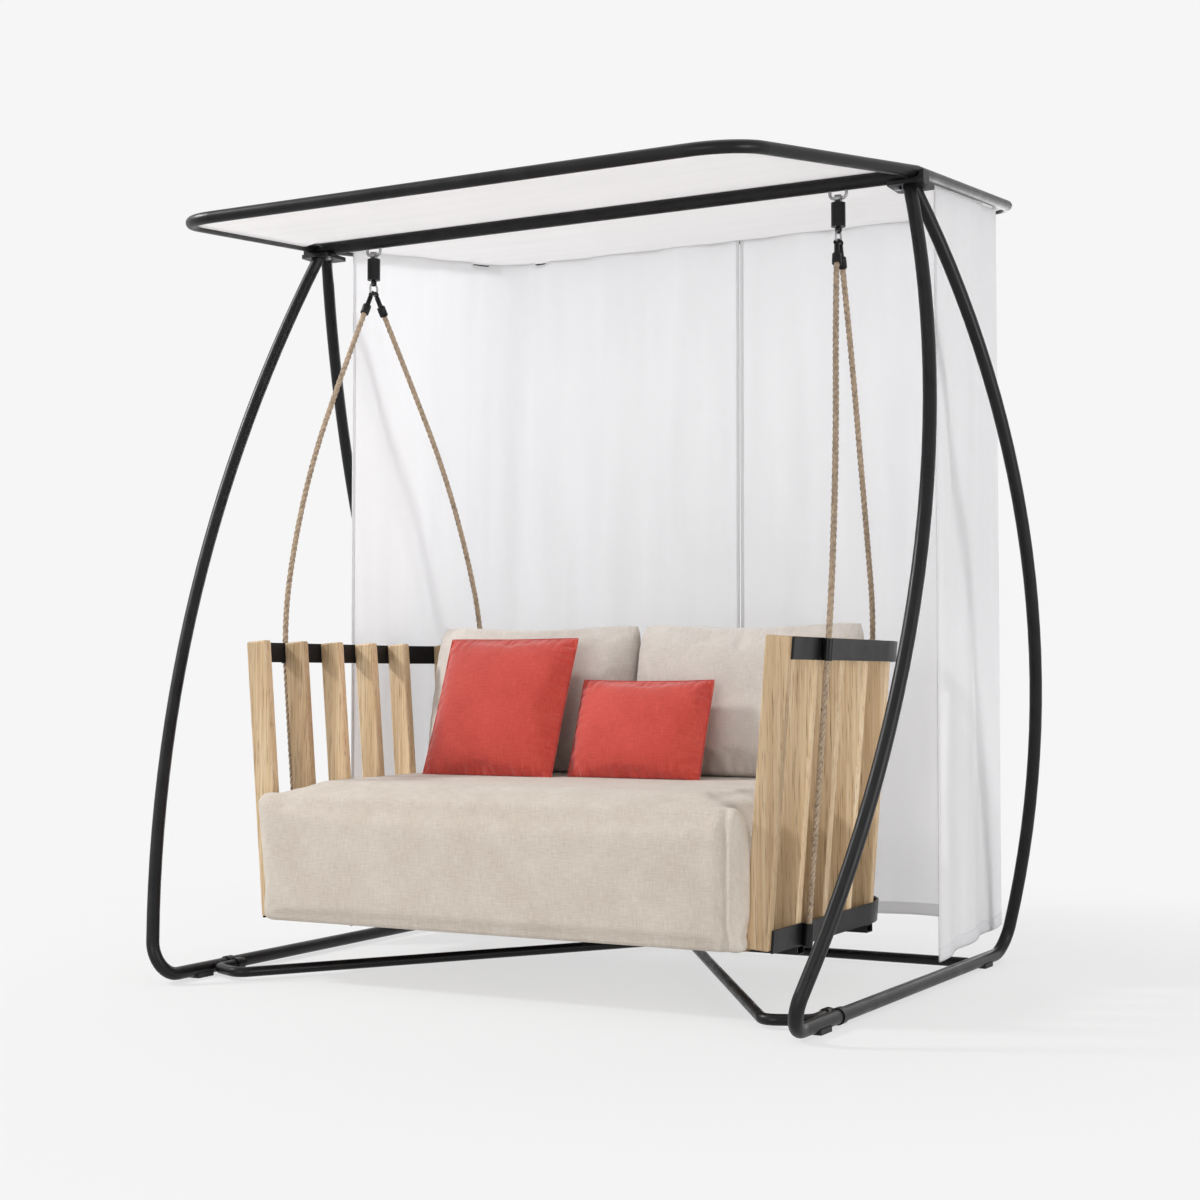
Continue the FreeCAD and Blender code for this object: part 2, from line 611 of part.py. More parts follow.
housing = housing.cut(rod(cavity_low, Vector(hanger_x, 0, pivot_height), size("stem_diameter") + 4 * play))

# Under each housing a small eye carries the swivel ring, and the ring carries two rope terminals.
link_rod = size("link_rod")
eye_ring = link_rod + size("link_play")
eye_reach = eye_ring + link_rod / 2 - size("weld_depth")
ring_top = Vector(hanger_x, 0, housing_base.z - eye_reach)
ring_centre = ring_top - Z_AXIS * size("ring_radius")
housing = housing.fuse(Part.makeTorus(eye_ring, link_rod / 2, ring_top, Y_AXIS)).removeSplitter()
housing = max(housing.Solids, key=lambda solid: solid.Volume)
for side_name, side in SIDES:
    node(side_name + "_swivel_eye", mirrored(eye, side))
    node(side_name + "_swivel_housing", mirrored(housing, side))
    keep(primitive("Part::Torus", side_name + "_swivel_ring",
                   {"Radius1": "dimensions.ring_radius", "Radius2": "dimensions.link_rod / 2"},
                   Placement(Vector(side * hanger_x, 0, ring_centre.z), ALONG_X)), side_name + "_swivel_ring")

bearings = []
for side_name, side in SIDES:
    place = Placement(Vector(side * hanger_x, 0, stem_end + play / 2), Rotation())
    race = primitive("Part::Cylinder", side_name + "_bearing_race",
                     {"Radius": "dimensions.housing_diameter / 2 - dimensions.housing_wall"
                                " - dimensions.bore_play",
                      "Height": "dimensions.bearing_height"}, place)
    bore = primitive("Part::Cylinder", side_name + "_bearing_bore",
                     {"Radius": "dimensions.stem_diameter / 2 + dimensions.bore_play",
                      "Height": "dimensions.bearing_height"}, place)
    bearings.append(boolean("Part::Cut", side_name + "_bearing", race, bore))
keep(group("swivel_bearings", bearings), "swivel_bearings")

# Basket: height above the floor gives the slat face's distance, so arms and back lean outward alike.
basket_slope = math.tan(math.radians(size("basket_flare")))
corner = Vector(canopy_wide - size("corner_inset"), size("corner_rear"), 0)
basket_bottom = size("basket_bottom")
basket_top = size("basket_top")


def face_radius(height):
    return size("corner_radius") + (height - basket_bottom) * basket_slope


# A band is a flat bar bent into a U, lofted between its lower and upper outline.
def band_outline(height):
    inner = face_radius(height)
    front = -size("first_slat_front")
    wires = []
    for radius in (inner, inner + size("band_thickness")):
        right = corner.x + radius
        back = corner.y + radius
        slant = unit(Vector(1, 1, 0)) * radius
        wires.append([
            line(Vector(right, front, height), Vector(right, corner.y, height)),
            arc(Vector(right, corner.y, height), Vector(corner.x + slant.x, corner.y + slant.y, height),
                Vector(corner.x, back, height)),
            line(Vector(corner.x, back, height), Vector(-corner.x, back, height)),
            arc(Vector(-corner.x, back, height), Vector(-corner.x - slant.x, corner.y + slant.y, height),
                Vector(-right, corner.y, height)),
            line(Vector(-right, corner.y, height), Vector(-right, front, height)),
        ])
    inner_edges, outer_edges = wires
    ends = [line(inner_edges[0].Vertexes[0].Point, outer_edges[0].Vertexes[0].Point),
            line(inner_edges[-1].Vertexes[-1].Point, outer_edges[-1].Vertexes[-1].Point)]
    return Part.Wire(Part.__sortEdges__(inner_edges + outer_edges + ends))


for label, low in (("lower_band", basket_bottom), ("upper_band", basket_top - size("band_height"))):
    node(label, Part.makeLoft([band_outline(low), band_outline(low + size("band_height"))], True, True))


# Where a slat stands: distance along the half basket from the first slat at the arm's front.
def basket_station(distance):
    middle_height = (basket_bottom + basket_top) / 2
    radius = face_radius(middle_height)
    straight = size("first_slat_front") + corner.y
    turning = radius * math.pi / 2
    if distance <= straight:
        return Vector(corner.x, distance - size("first_slat_front"), 0), X_AXIS
    if distance <= straight + turning:
        angle = (distance - straight) / radius
        return Vector(corner), Vector(math.cos(angle), math.sin(angle), 0)
    return Vector(corner.x - (distance - straight - turning), corner.y, 0), Y_AXIS


def basket_length():
    radius = face_radius((basket_bottom + basket_top) / 2)
    return size("first_slat_front") + corner.y + radius * math.pi / 2 + corner.x


# The leaning frame at a station: outward, up along the slat, and a point of the slat face.
def lean_frame(foot, outward, height):
    up = unit(Z_AXIS + outward * basket_slope)
    face = foot + outward * face_radius(height) + Z_AXIS * height
    return face, unit(outward - Z_AXIS * basket_slope), up


def slat(name, distance, side):
    foot, outward = basket_station(distance)
    foot.x, outward = side * foot.x, Vector(side * outward.x, outward.y, 0)
    face, out, up = lean_frame(foot, outward, basket_bottom)
    along = up.cross(out)
    corner_point = face - out * (size("slat_gap") + size("slat_depth")) + up * size("slat_edge") \
        - along * (size("slat_thickness") / 2)
    turn = FreeCAD.Matrix(out.x, along.x, up.x, corner_point.x, out.y, along.y, up.y, corner_point.y,
                          out.z, along.z, up.z, corner_point.z, 0, 0, 0, 1)
    blank = primitive("Part::Box", name + "_blank",
                      {"Length": "dimensions.slat_depth", "Width": "dimensions.slat_thickness",
                       "Height": "(dimensions.basket_top - dimensions.basket_bottom)"
                                 " / cos(dimensions.basket_flare * 1 deg) - dimensions.slat_edge"},
                      Placement(turn))
    doc.recompute()
    rounded = doc.addObject("Part::Fillet", name)
    rounded.Base = blank
    edge = size("slat_edge")
    rounded.Edges = [(index + 1, edge, edge) for index in range(len(blank.Shape.Edges))]
    return rounded


slat_count = int(size("slat_count"))
arm_count = int(size("arm_slat_count"))
slat_pitch = basket_length() / (slat_count - 0.5)
back_slats = []
for index in range(slat_count):
    for side_name, side in SIDES:
        if index < arm_count:
            name = f"{side_name}_arm_slat_{index + 1}"
            keep(slat(name, index * slat_pitch, side), name)
        else:
            name = f"{side_name}_back_slat_{index + 1 - arm_count}"
            back_slats.append(slat(name, index * slat_pitch, side))
keep(group("back_slats", back_slats), "back_slats")

# Ropes: from a terminal on the swivel ring, in a gentle bow, through a guide to an anchor.
rope_diameter = size("rope_diameter")
socket_diameter = rope_diameter + 2 * size("rope_play")
sleeve_diameter = socket_diameter + 2 * size("guide_wall")
sleeve_stand = size("band_thickness") + sleeve_diameter / 2 + contact
guide_low = basket_top - size("band_height")
rear_angle = math.radians(90 - size("rear_rope_angle"))
ROPE_STATIONS = [
    ("front", Vector(corner.x, -size("front_rope_front"), 0), X_AXIS, -1),
    ("rear", Vector(corner), Vector(math.cos(rear_angle), math.sin(rear_angle), 0), 1),
]
# The bow of each rope to the front or rear and outward, at three places on the way down.
ROPE_BOWS = {
    "front": [Vector(10, -24, 0), Vector(21, -38, 0), Vector(17, -29, 0)],
    "rear": [Vector(-6, 27, 0), Vector(-14, 46, 0), Vector(-11, 35, 0)],
}
# The share of the shorter run that a bend takes up.
BEND_SHARE = 0.45
terminals, guides, anchors = [], [], []
for rope_name, foot, outward, toward in ROPE_STATIONS:
    low_face, out, up = lean_frame(foot, outward, basket_bottom)
    high_face, _, _ = lean_frame(foot, outward, guide_low)
    low = low_face + out * sleeve_stand
    guide_start = high_face + out * sleeve_stand
    guide_end = guide_start + up * size("band_height")
    bend_point = guide_end + up * size("rope_rise")
    spread = math.radians(size("terminal_angle"))
    hook = ring_centre + Vector(0, toward * math.sin(spread), -math.cos(spread)) * size("ring_radius")
    hook_axis = Vector(0, math.cos(spread), toward * math.sin(spread))
    bows = ROPE_BOWS[rope_name]
    shares = [(index + 1) / (len(bows) + 1) for index in range(len(bows))]
    bowed = [hook + (bend_point - hook) * share + bow for share, bow in zip(shares, bows)]
    pull = unit(bowed[0] - hook)
    sleeve_start = hook + pull * eye_reach
    sleeve_end = sleeve_start + pull * size("terminal_length")
    rope_start = sleeve_end - pull * size("socket_depth")
    rope_end = low + up * size("anchor_floor")
    points = [rope_start] + bowed + [bend_point, rope_end]
    radii = []
    for before, point, after in zip(points, points[1:], points[2:]):
        turn = math.pi - (before - point).getAngle(after - point)
        shorter = min((before - point).Length, (after - point).Length)
        tangent = size("rope_rise") - size("rope_play") if point is bend_point else BEND_SHARE * shorter
        radii.append(tangent / math.tan(turn / 2))
    print(rope_name, "rope radii", [round(radius) for radius in radii])
    rope = bar(route(points, radii), rope_diameter)
    terminal = rod(sleeve_start, sleeve_end, size("terminal_diameter"))
    terminal = terminal.cut(rod(rope_start, sleeve_end + pull, socket_diameter))
    terminal = terminal.fuse(Part.makeTorus(eye_ring, link_rod / 2, hook, hook_axis)).removeSplitter()
    guide = rod(guide_start, guide_end, sleeve_diameter).cut(
        rod(guide_start - up, guide_end + up, socket_diameter))
    anchor = rod(low, low + up * size("band_height"), sleeve_diameter).cut(
        rod(rope_end, low + up * (size("band_height") + 1), socket_diameter))
    for side_name, side in SIDES:
        terminals.append(mirrored(terminal, side))
        guides.append(mirrored(guide, side))
        anchors.append(mirrored(anchor, side))
        node(f"{side_name}_{rope_name}_rope", mirrored(rope, side))
node("rope_terminals", Part.makeCompound(terminals))
node("rope_guides", Part.makeCompound(guides))
node("rope_anchors", Part.makeCompound(anchors))

# Seat: two crossrails under the lower band carry a platform between the slats.
band_half = corner.x + face_radius(basket_bottom) + size("band_thickness")
rails = []
for rail_name, rail_y in (("front", -size("front_crossrail")), ("rear", size("rear_crossrail"))):
    low = Vector(-band_half, rail_y - size("crossrail_width") / 2, basket_bottom - size("crossrail_height"))
    wall = size("slim_wall")
    outer = primitive("Part::Box", rail_name + "_crossrail_outer",
                      {"Length": f"{2 * band_half} mm", "Width": "dimensions.crossrail_width",
                       "Height": "dimensions.crossrail_height"}, Placement(low, Rotation()))
    inner = primitive("Part::Box", rail_name + "_crossrail_bore",
                      {"Length": f"{2 * band_half} mm",
                       "Width": "dimensions.crossrail_width - 2 * dimensions.slim_wall",
                       "Height": "dimensions.crossrail_height - 2 * dimensions.slim_wall"},
                      Placement(low + Vector(0, wall, wall), Rotation()))
    rails.append(boolean("Part::Cut", rail_name + "_crossrail", outer, inner))
keep(group("seat_crossrails", rails), "seat_crossrails")


def slat_clear(height):
    return face_radius(height) - size("slat_depth") / math.cos(math.radians(size("basket_flare"))) \
        - size("slat_gap") - size("seat_gap")


# A plan outline inside the slats, drawn in by an inset, with round rear corners.
def seat_outline(height, front, inset):
    radius = slat_clear(height) - inset
    side_x = corner.x + radius
    back = corner.y + radius
    slant = unit(Vector(1, 1, 0)) * radius
    return Part.Wire([
        line(Vector(-side_x, front, height), Vector(side_x, front, height)),
        line(Vector(side_x, front, height), Vector(side_x, corner.y, height)),
        arc(Vector(side_x, corner.y, height), Vector(corner.x + slant.x, corner.y + slant.y, height),
            Vector(corner.x, back, height)),
        line(Vector(corner.x, back, height), Vector(-corner.x, back, height)),
        arc(Vector(-corner.x, back, height), Vector(-corner.x - slant.x, corner.y + slant.y, height),
            Vector(-side_x, corner.y, height)),
        line(Vector(-side_x, corner.y, height), Vector(-side_x, front, height)),
    ])


platform_top = basket_bottom + size("platform_thickness")
node("seat_platform", Part.Face(seat_outline(basket_bottom, -size("platform_front"), 0)).extrude(
    Z_AXIS * size("platform_thickness")))

# Seat cushion: full sides, a rolled top edge, a low crown, and a front roll that covers the arm ends.
seat_low = platform_top + size("soft_gap")
seat_top = size("seat_height")
roll = size("seat_roll")
ahead = -size("first_slat_front") - size("slat_thickness") / 2 - size("seat_gap")
# Shares of the roll: below the crown, and drawn in from the side.
ROLLED_EDGE = [(1, 0), (0.45, 0.15), (0.18, 0.5), (0, 1)]
ROLLED_FOOT = [(0, 0.1), (0.3, 0)]
levels = [(seat_low + roll * rise, roll * inset) for rise, inset in ROLLED_FOOT]
levels += [(seat_top - roll * drop, roll * inset) for drop, inset in ROLLED_EDGE]
cushion = Part.makeLoft([seat_outline(height, ahead - size("apron_depth") / 2 + inset / 4, inset)
                         for height, inset in levels], True, False)
apron_half = corner.x + slat_clear(seat_low) + size("apron_overlap")
apron = box(Vector(-apron_half, -size("seat_front"), seat_low),
            Vector(apron_half, -size("seat_front") + size("apron_depth"), seat_top - size("apron_drop")))
apron = apron.makeFillet(size("apron_edge"), apron.Edges)
node("seat_cushion", cushion.fuse(apron))


# A stuffed cushion: outlines stacked through its thickness, sides drawn in, faces crowned.
def pillow(width, tall, thick, draw, crown):
    wires = []
    for depth, share in crown:
        half_x, half_z = width / 2 * share, tall / 2 * share
        y = thick / 2 * depth
        corners = [Vector(half_x, y, -half_z), Vector(half_x, y, half_z),
                   Vector(-half_x, y, half_z), Vector(-half_x, y, -half_z)]
        edges = []
        for start, end in zip(corners, corners[1:] + corners[:1]):
            middle = (start + end) * 0.5
            pull = unit(Vector(middle.x, 0, middle.z)) * (draw * share)
            edges.append(arc(start, middle - pull, end))
        wires.append(Part.Wire(edges))
    return Part.makeLoft(wires, True, False)


def leaned(shape, lean, low_z, middle_x, rear_y):
    shape = shape.copy()
    shape.Placement = Placement(Vector(0, 0, 0), Rotation(X_AXIS, -lean)).multiply(shape.Placement)
    bounds = shape.optimalBoundingBox()
    shape.translate(Vector(middle_x, rear_y - bounds.YMax, low_z - bounds.ZMin))
    return shape


BLOCK_CROWN = [(-1, 0.80), (-0.78, 0.94), (0, 1), (0.78, 0.94), (1, 0.80)]
KNIFE_CROWN = [(-1, 0.42), (-0.72, 0.74), (0, 1), (0.72, 0.74), (1, 0.42)]
rest_height = seat_top + size("soft_gap")
back_width = corner.x + size("back_past") - size("back_gap") / 2 - 2 * size("back_swell")
back = pillow(back_width, size("back_tall"), size("back_thick"), -size("back_swell"), BLOCK_CROWN)
for side_name, side in SIDES:
    offset = side * ((back_width + size("back_gap")) / 2 + size("back_swell"))
    node(side_name + "_back_cushion", leaned(back, size("back_lean_angle"), rest_height, offset, size("back_rear")))

# Scatter cushions lean on the back cushions, a little apart from them and from each other.
back_front = size("back_rear") - size("back_thick") - size("back_tall") * math.sin(
    math.radians(size("back_lean_angle"))) / 2 - size("scatter_gap")
draw = size("scatter_draw")
square = pillow(size("square_side"), size("square_side"), size("square_thick"), draw, KNIFE_CROWN)
lumbar = pillow(size("lumbar_width"), size("lumbar_tall"), size("lumbar_thick"), draw, KNIFE_CROWN)
node("square_cushion", leaned(square, size("square_lean_angle"), rest_height, -size("square_offset"), back_front))
node("lumbar_cushion", leaned(lumbar, size("lumbar_lean_angle"), rest_height, size("lumbar_offset"), back_front))

# Every object is sound before anything is written.
doc.recompute()
for item in doc.Objects:
    if "Invalid" in item.State or "Error" in item.State:
        raise RuntimeError(f"{item.Label} did not compute")
for piece in nodes:
    if piece.Shape.isNull() or not piece.Shape.isValid():
        raise RuntimeError(f"{piece.Label} has no valid shape")

# The finished frame has its origin on the floor midway between the canopy's front and rear edges.
middle_y = (size("canopy_rear_reach") - size("canopy_front_reach")) / 2 * math.cos(
    math.radians(size("canopy_tilt")))
for piece in nodes:
    piece.Placement = Placement(Vector(0, -middle_y, 0), Rotation()).multiply(piece.Placement)

os.makedirs("parts", exist_ok=True)
for piece in nodes:
    piece.Shape.exportStep(f"parts/{piece.Label}.step")
print(len(nodes), "nodes written")
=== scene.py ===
"""Garden swing: a steel stand with a cloth roof and curtains, and a slatted seat on four ropes."""
import math

import bpy
from mathutils import Matrix, Vector, noise


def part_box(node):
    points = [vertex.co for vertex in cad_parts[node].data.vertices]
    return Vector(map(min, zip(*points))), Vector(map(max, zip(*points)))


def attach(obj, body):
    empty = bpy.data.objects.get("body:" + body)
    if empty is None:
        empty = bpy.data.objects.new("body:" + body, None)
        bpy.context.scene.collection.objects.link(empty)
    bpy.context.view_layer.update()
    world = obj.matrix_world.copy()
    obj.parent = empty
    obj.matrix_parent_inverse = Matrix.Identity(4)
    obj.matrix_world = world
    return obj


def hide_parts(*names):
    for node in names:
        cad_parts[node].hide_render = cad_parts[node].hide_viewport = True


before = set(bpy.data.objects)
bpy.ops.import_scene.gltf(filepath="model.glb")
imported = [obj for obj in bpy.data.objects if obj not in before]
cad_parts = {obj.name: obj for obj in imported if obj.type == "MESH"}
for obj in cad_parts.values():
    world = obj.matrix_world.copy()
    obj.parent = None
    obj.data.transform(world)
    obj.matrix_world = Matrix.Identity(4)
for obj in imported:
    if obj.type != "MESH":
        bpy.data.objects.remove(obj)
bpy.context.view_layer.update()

scene = bpy.context.scene
scene.view_settings.view_transform = "Standard"

# Stand: legs, base rails, crossbar, braces, top beam and apex plates. Round steel tube, bent and
# welded, then powder coated in one satin black. The frame's own solids carry the finish.


def linear(colour):
    """An sRGB hex colour as linear RGBA."""
    shares = [int(colour[at:at + 2], 16) / 255 for at in (1, 3, 5)]
    return [s / 12.92 if s <= 0.04045 else ((s + 0.055) / 1.055) ** 2.4 for s in shares] + [1]


def plug(tree, node, inputs):
    """Sets a node's inputs. An input is a value, or another node's output."""
    for name, value in inputs.items():
        if isinstance(value, bpy.types.NodeSocket):
            tree.links.new(value, node.inputs[name])
        else:
            node.inputs[name].default_value = value


def add(tree, kind, inputs=None, stops=None, **settings):
    """Adds one shader node with its settings, its inputs and the colours of its ramp."""
    made = tree.nodes.new("ShaderNode" + kind)
    for name, value in settings.items():
        setattr(made, name, value)
    plug(tree, made, inputs or {})
    for at, (place, colour) in enumerate(stops or []):
        ramp = made.color_ramp.elements
        stop = ramp[at] if at < len(ramp) else ramp.new(place)
        stop.position, stop.color = place, linear(colour)
    return made


def new_finish(name):
    """A new material, its nodes and its shader."""
    made = bpy.data.materials.new(name)
    made.use_nodes = True
    return made, made.node_tree, made.node_tree.nodes["Principled BSDF"]


def dress(finish, names):
    """Gives solids of the frame a finish."""
    for name in names:
        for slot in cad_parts[name].material_slots:
            slot.material = finish


# Powder coat on steel: baked-on plastic with a faint orange peel, so its highlights are soft and a
# little broken. The peel is about 1 mm in life and is drawn at 3 mm, as fine as the picture can show.
PEEL, MOTTLE = 0.003, 0.06
powder_coat, tree, shader = new_finish("satin_black_powder_coat")
where = add(tree, "TexCoord").outputs["Object"]
mottle = add(tree, "TexNoise", {"Vector": where, "Scale": 1 / MOTTLE, "Detail": 4, "Roughness": 0.6})
tint = add(tree, "ValToRGB", {"Fac": mottle.outputs["Fac"]}, [(0.3, "#0f0f11"), (0.7, "#19191b")])
gloss = add(tree, "MapRange", {"Value": mottle.outputs["Fac"], "From Min": 0.3, "From Max": 0.7,
                               "To Min": 0.32, "To Max": 0.44})
peel = add(tree, "TexNoise", {"Vector": where, "Scale": 1 / PEEL, "Detail": 2})
bump = add(tree, "Bump", {"Height": peel.outputs["Fac"], "Distance": 0.0002, "Strength": 0.3})
plug(tree, shader, {"Base Color": tint.outputs["Color"], "Roughness": gloss.outputs["Result"],
                    "Normal": bump.outputs["Normal"], "Specular IOR Level": 0.22})

SIDES = (("left", -1), ("right", 1))
dress(powder_coat, [f"{side}_{part}" for side, _ in SIDES for part in (
    "front_leg", "rear_leg", "base_rail", "diagonal_brace", "apex_plate")])
dress(powder_coat, ["rear_crossbar", "brace_collars", "top_beam"])

# Foot glides and apex bolts: moulded rubber pads under the rails keep them off the floor, and a
# zinc-plated hexagon bolt through each apex plate pulls it against the beam.

# Moulded rubber: matt and near black, with a fine grain and a little dust in it.
RUBBER_GRAIN = 0.004
rubber, tree, shader = new_finish("moulded_rubber")
where = add(tree, "TexCoord").outputs["Object"]
dust = add(tree, "TexNoise", {"Vector": where, "Scale": 1 / RUBBER_GRAIN, "Detail": 5})
tint = add(tree, "ValToRGB", {"Fac": dust.outputs["Fac"]}, [(0.35, "#1a1a1a"), (0.75, "#2c2b2a")])
bump = add(tree, "Bump", {"Height": dust.outputs["Fac"], "Distance": 0.0003, "Strength": 0.4})
plug(tree, shader, {"Base Color": tint.outputs["Color"], "Roughness": 0.75,
                    "Normal": bump.outputs["Normal"]})
dress(rubber, ["foot_glides"])

# Bright steel rod: drawn and plated, so it shines along faint draw lines about 2 mm apart.
DRAW_LINE = 0.002
bright_steel, tree, shader = new_finish("plated_steel")
where = add(tree, "TexCoord").outputs["Object"]
lines = add(tree, "TexNoise", {"Vector": where, "Scale": 1 / DRAW_LINE, "Detail": 3})
tint = add(tree, "ValToRGB", {"Fac": lines.outputs["Fac"]}, [(0.3, "#8d8e90"), (0.7, "#b6b7b9")])
gloss = add(tree, "MapRange", {"Value": lines.outputs["Fac"], "To Min": 0.2, "To Max": 0.4})
plug(tree, shader, {"Base Color": tint.outputs["Color"], "Roughness": gloss.outputs["Result"],
                    "Metallic": 1})
dress(bright_steel, ["apex_bolts"])

# Canopy ring: two bent tubes in the stand's own powder coat, which meet over a saddle block at
# each end of the beam.
dress(powder_coat, ["canopy_front_tube", "canopy_rear_tube", "left_canopy_joint", "right_canopy_joint"])

# Canopy cloth: one sheet of off-white outdoor cloth, laid over the beam as a ridge and pulled out
# to the ring, where its hemmed edge lies against the lower inside of the tubes.

# Woven outdoor cloth: matt, off-white and a little see-through to light, so the sky side shows as a
# glow. Its threads are 0.6 mm apart in life and are drawn 2.4 mm apart, so that the weave can be seen.
# The weave follows the cloth's own two directions, in metres, which each piece keeps as "cloth".
THREAD, STREAK_WIDE, STREAK_LONG = 0.0024, 0.06, 0.9
BAND_TURN = 2 * math.pi / 20  # a band texture's period, in its own units


def outdoor_cloth(name, dark, pale):
    """Off-white woven cloth that lets some light through."""
    finish, tree, shader = new_finish(name)
    where = add(tree, "Attribute", attribute_name="cloth").outputs["Vector"]
    weave = [add(tree, "TexWave", {"Vector": where, "Scale": BAND_TURN / THREAD, "Distortion": 0.6,
                                   "Detail": 1}, bands_direction=way).outputs["Fac"] for way in "XY"]
    threads = add(tree, "Math", {0: weave[0], 1: weave[1]}, operation="ADD").outputs[0]
    long_way = add(tree, "Mapping", {"Vector": where, "Scale": (1 / STREAK_WIDE, 1 / STREAK_LONG, 1)})
    streaks = add(tree, "TexNoise", {"Vector": long_way.outputs["Vector"], "Scale": 1, "Detail": 4})
    tint = add(tree, "ValToRGB", {"Fac": streaks.outputs["Fac"]}, [(0.25, dark), (0.75, pale)])
    bump = add(tree, "Bump", {"Height": threads, "Distance": 0.0002, "Strength": 0.3})
    surface = {"Color": tint.outputs["Color"], "Normal": bump.outputs["Normal"]}
    plug(tree, shader, {"Base Color": surface["Color"], "Normal": surface["Normal"], "Roughness": 0.85,
                        "Sheen Weight": 0.15})
    through = add(tree, "BsdfTranslucent", surface)
    mixed = add(tree, "MixShader", {0: 0.45, 1: shader.outputs[0], 2: through.outputs[0]})
    plug(tree, tree.nodes["Material Output"], {"Surface": mixed.outputs[0]})
    return finish


def lay_cloth(mesh, spots):
    """Keeps each point's place on the flat cloth, which the weave follows."""
    kept = mesh.attributes.new("cloth", "FLOAT_VECTOR", "POINT")
    kept.data.foreach_set("vector", [part for spot in spots for part in (*spot, 0)])


def build(name, verts, faces, finish, spots=None, place=None):
    """A smooth mesh piece, not yet on a body. Spots are its points on the flat cloth."""
    mesh = bpy.data.meshes.new(name)
    mesh.from_pydata(verts, [], faces)
    if spots:
        lay_cloth(mesh, spots)
    mesh.polygons.foreach_set("use_smooth", [True] * len(mesh.polygons))
    mesh.materials.append(finish)
    made = bpy.data.objects.new(name, mesh)
    scene.collection.objects.link(made)
    made.matrix_world = place or Matrix()
    return made


def thicken(sheet, thickness):
    """Gives a sheet its thickness, half of it to each side."""
    thick = sheet.modifiers.new("cloth", "SOLIDIFY")
    thick.thickness, thick.offset = thickness, 0


def fix(piece, body, replaced=()):
    """Puts a piece on its body, in place of solids."""
    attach(piece, body)
    if replaced:
        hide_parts(*replaced)
    return piece


def quads(rows, columns):
    """The faces of a grid of points, row after row."""
    return [(r * columns + c, r * columns + c + 1, (r + 1) * columns + c + 1, (r + 1) * columns + c)
            for r in range(rows - 1) for c in range(columns - 1)]


roof_cloth = outdoor_cloth("woven_roof_cloth", "#f5f5f5", "#faf9f9")

BEAM_Y, RIDGE_Z, RING_Z = -0.110125, 2.0168, 2.005
RING_TILT = math.radians(7.2)
RING_HALF, TUBE_R, EDGE_GAP = 0.902, 0.015, 0.0153
# Each half of the ring: its reach along the slope, how far it narrows, and the bend at its corners.
FRONT_REACH, FRONT_TAPER, FRONT_BEND = 0.768, 0.137, 0.130
REAR_REACH, REAR_TAPER, REAR_BEND = 0.990, 0.050, 0.080
ROOF_SAG, ROOF_RIPPLE, RIPPLES_PER_M, RIPPLE_SLICE = 0.012, 0.0025, 5, 0.3
EDGE_DROP, EDGE_ROLL, RIDGE_SHARE = 0.006, 0.05, 0.12
FRONT_ROWS, REAR_ROWS, ROOF_COLUMNS = 57, 65, 97
CLOTH = 0.0012


def roof_panel(way, reach, taper, bend, rows):
    """Points of one slope of the roof, from the ridge to the ring, row by row."""
    slant = taper / reach
    length = reach - EDGE_GAP
    radius = bend - TUBE_R
    stretch = math.hypot(1, slant)
    ridge_half = RING_HALF - EDGE_GAP * stretch
    centre = ridge_half - slant * (length - radius) - radius * stretch
    turn = length - radius + radius * slant / stretch
    rim_z = RING_Z + way * length * math.sin(RING_TILT)
    points = []
    for row in range(rows):
        out = length * math.sin(math.pi / 2 * row / (rows - 1))
        half = ridge_half - slant * out
        if out > turn:
            half = centre + math.sqrt(max(radius ** 2 - (out - length + radius) ** 2, 0))
        share = out / length
        y = BEAM_Y + way * out * math.cos(RING_TILT)
        line_z = RIDGE_Z + (rim_z - RIDGE_Z) * share
        edge_z = RING_Z + way * out * math.sin(RING_TILT) - EDGE_DROP
        for column in range(ROOF_COLUMNS):
            across = math.sin(math.pi / 2 * (2 * column / (ROOF_COLUMNS - 1) - 1))
            inside = min((1 - abs(across)) * half, (1 - share) * length)
            edge = math.exp(-inside / EDGE_ROLL) * min(1, share / RIDGE_SHARE) ** 2
            sag = ROOF_SAG * 4 * share * (1 - share) * (1 - across ** 4)
            ripple = noise.noise((across * RIPPLES_PER_M, y * RIPPLES_PER_M, RIPPLE_SLICE))
            ripple *= ROOF_RIPPLE * (1 - edge) * min(1, 4 * share)
            points.append((across * half, y, line_z + (edge_z - line_z) * edge - sag + ripple))
    return points


front_slope = roof_panel(-1, FRONT_REACH, FRONT_TAPER, FRONT_BEND, FRONT_ROWS)
rear_slope = roof_panel(1, REAR_REACH, REAR_TAPER, REAR_BEND, REAR_ROWS)
roof_points = [point for row in range(FRONT_ROWS - 1, 0, -1)
               for point in front_slope[row * ROOF_COLUMNS:(row + 1) * ROOF_COLUMNS]] + rear_slope
roof = build("roof_cloth", roof_points, quads(len(roof_points) // ROOF_COLUMNS, ROOF_COLUMNS), roof_cloth,
             [(y, x) for x, y, _ in roof_points])
thicken(roof, CLOTH)
fix(roof, "stand", ["canopy_fabric"])

# Curtains: two halves of the roof's cloth, hung from the rear of the roof, which meet at a seam
# behind the seat and wrap round the rear corners. Hemmed all round, and cut lower where the ring shows.
# The curtains' copy of the roof's cloth is a touch paler than the roof's: painted light that makes up for the
# shade they hang in under the roof.
curtain_cloth_painted_paler = outdoor_cloth("woven_curtain_cloth_painted_paler", "#f8f8f9", "#fcfcfd")
CURTAIN_INSET, CORNER_BEND, CORNER_STEPS, SEAM_HALF = 0.026, REAR_BEND, 14, 0.002
REAR_DEPTH = REAR_REACH * math.cos(RING_TILT)
SIDE_SLANT = REAR_TAPER / REAR_DEPTH
REAR_Y = BEAM_Y + REAR_DEPTH - CURTAIN_INSET
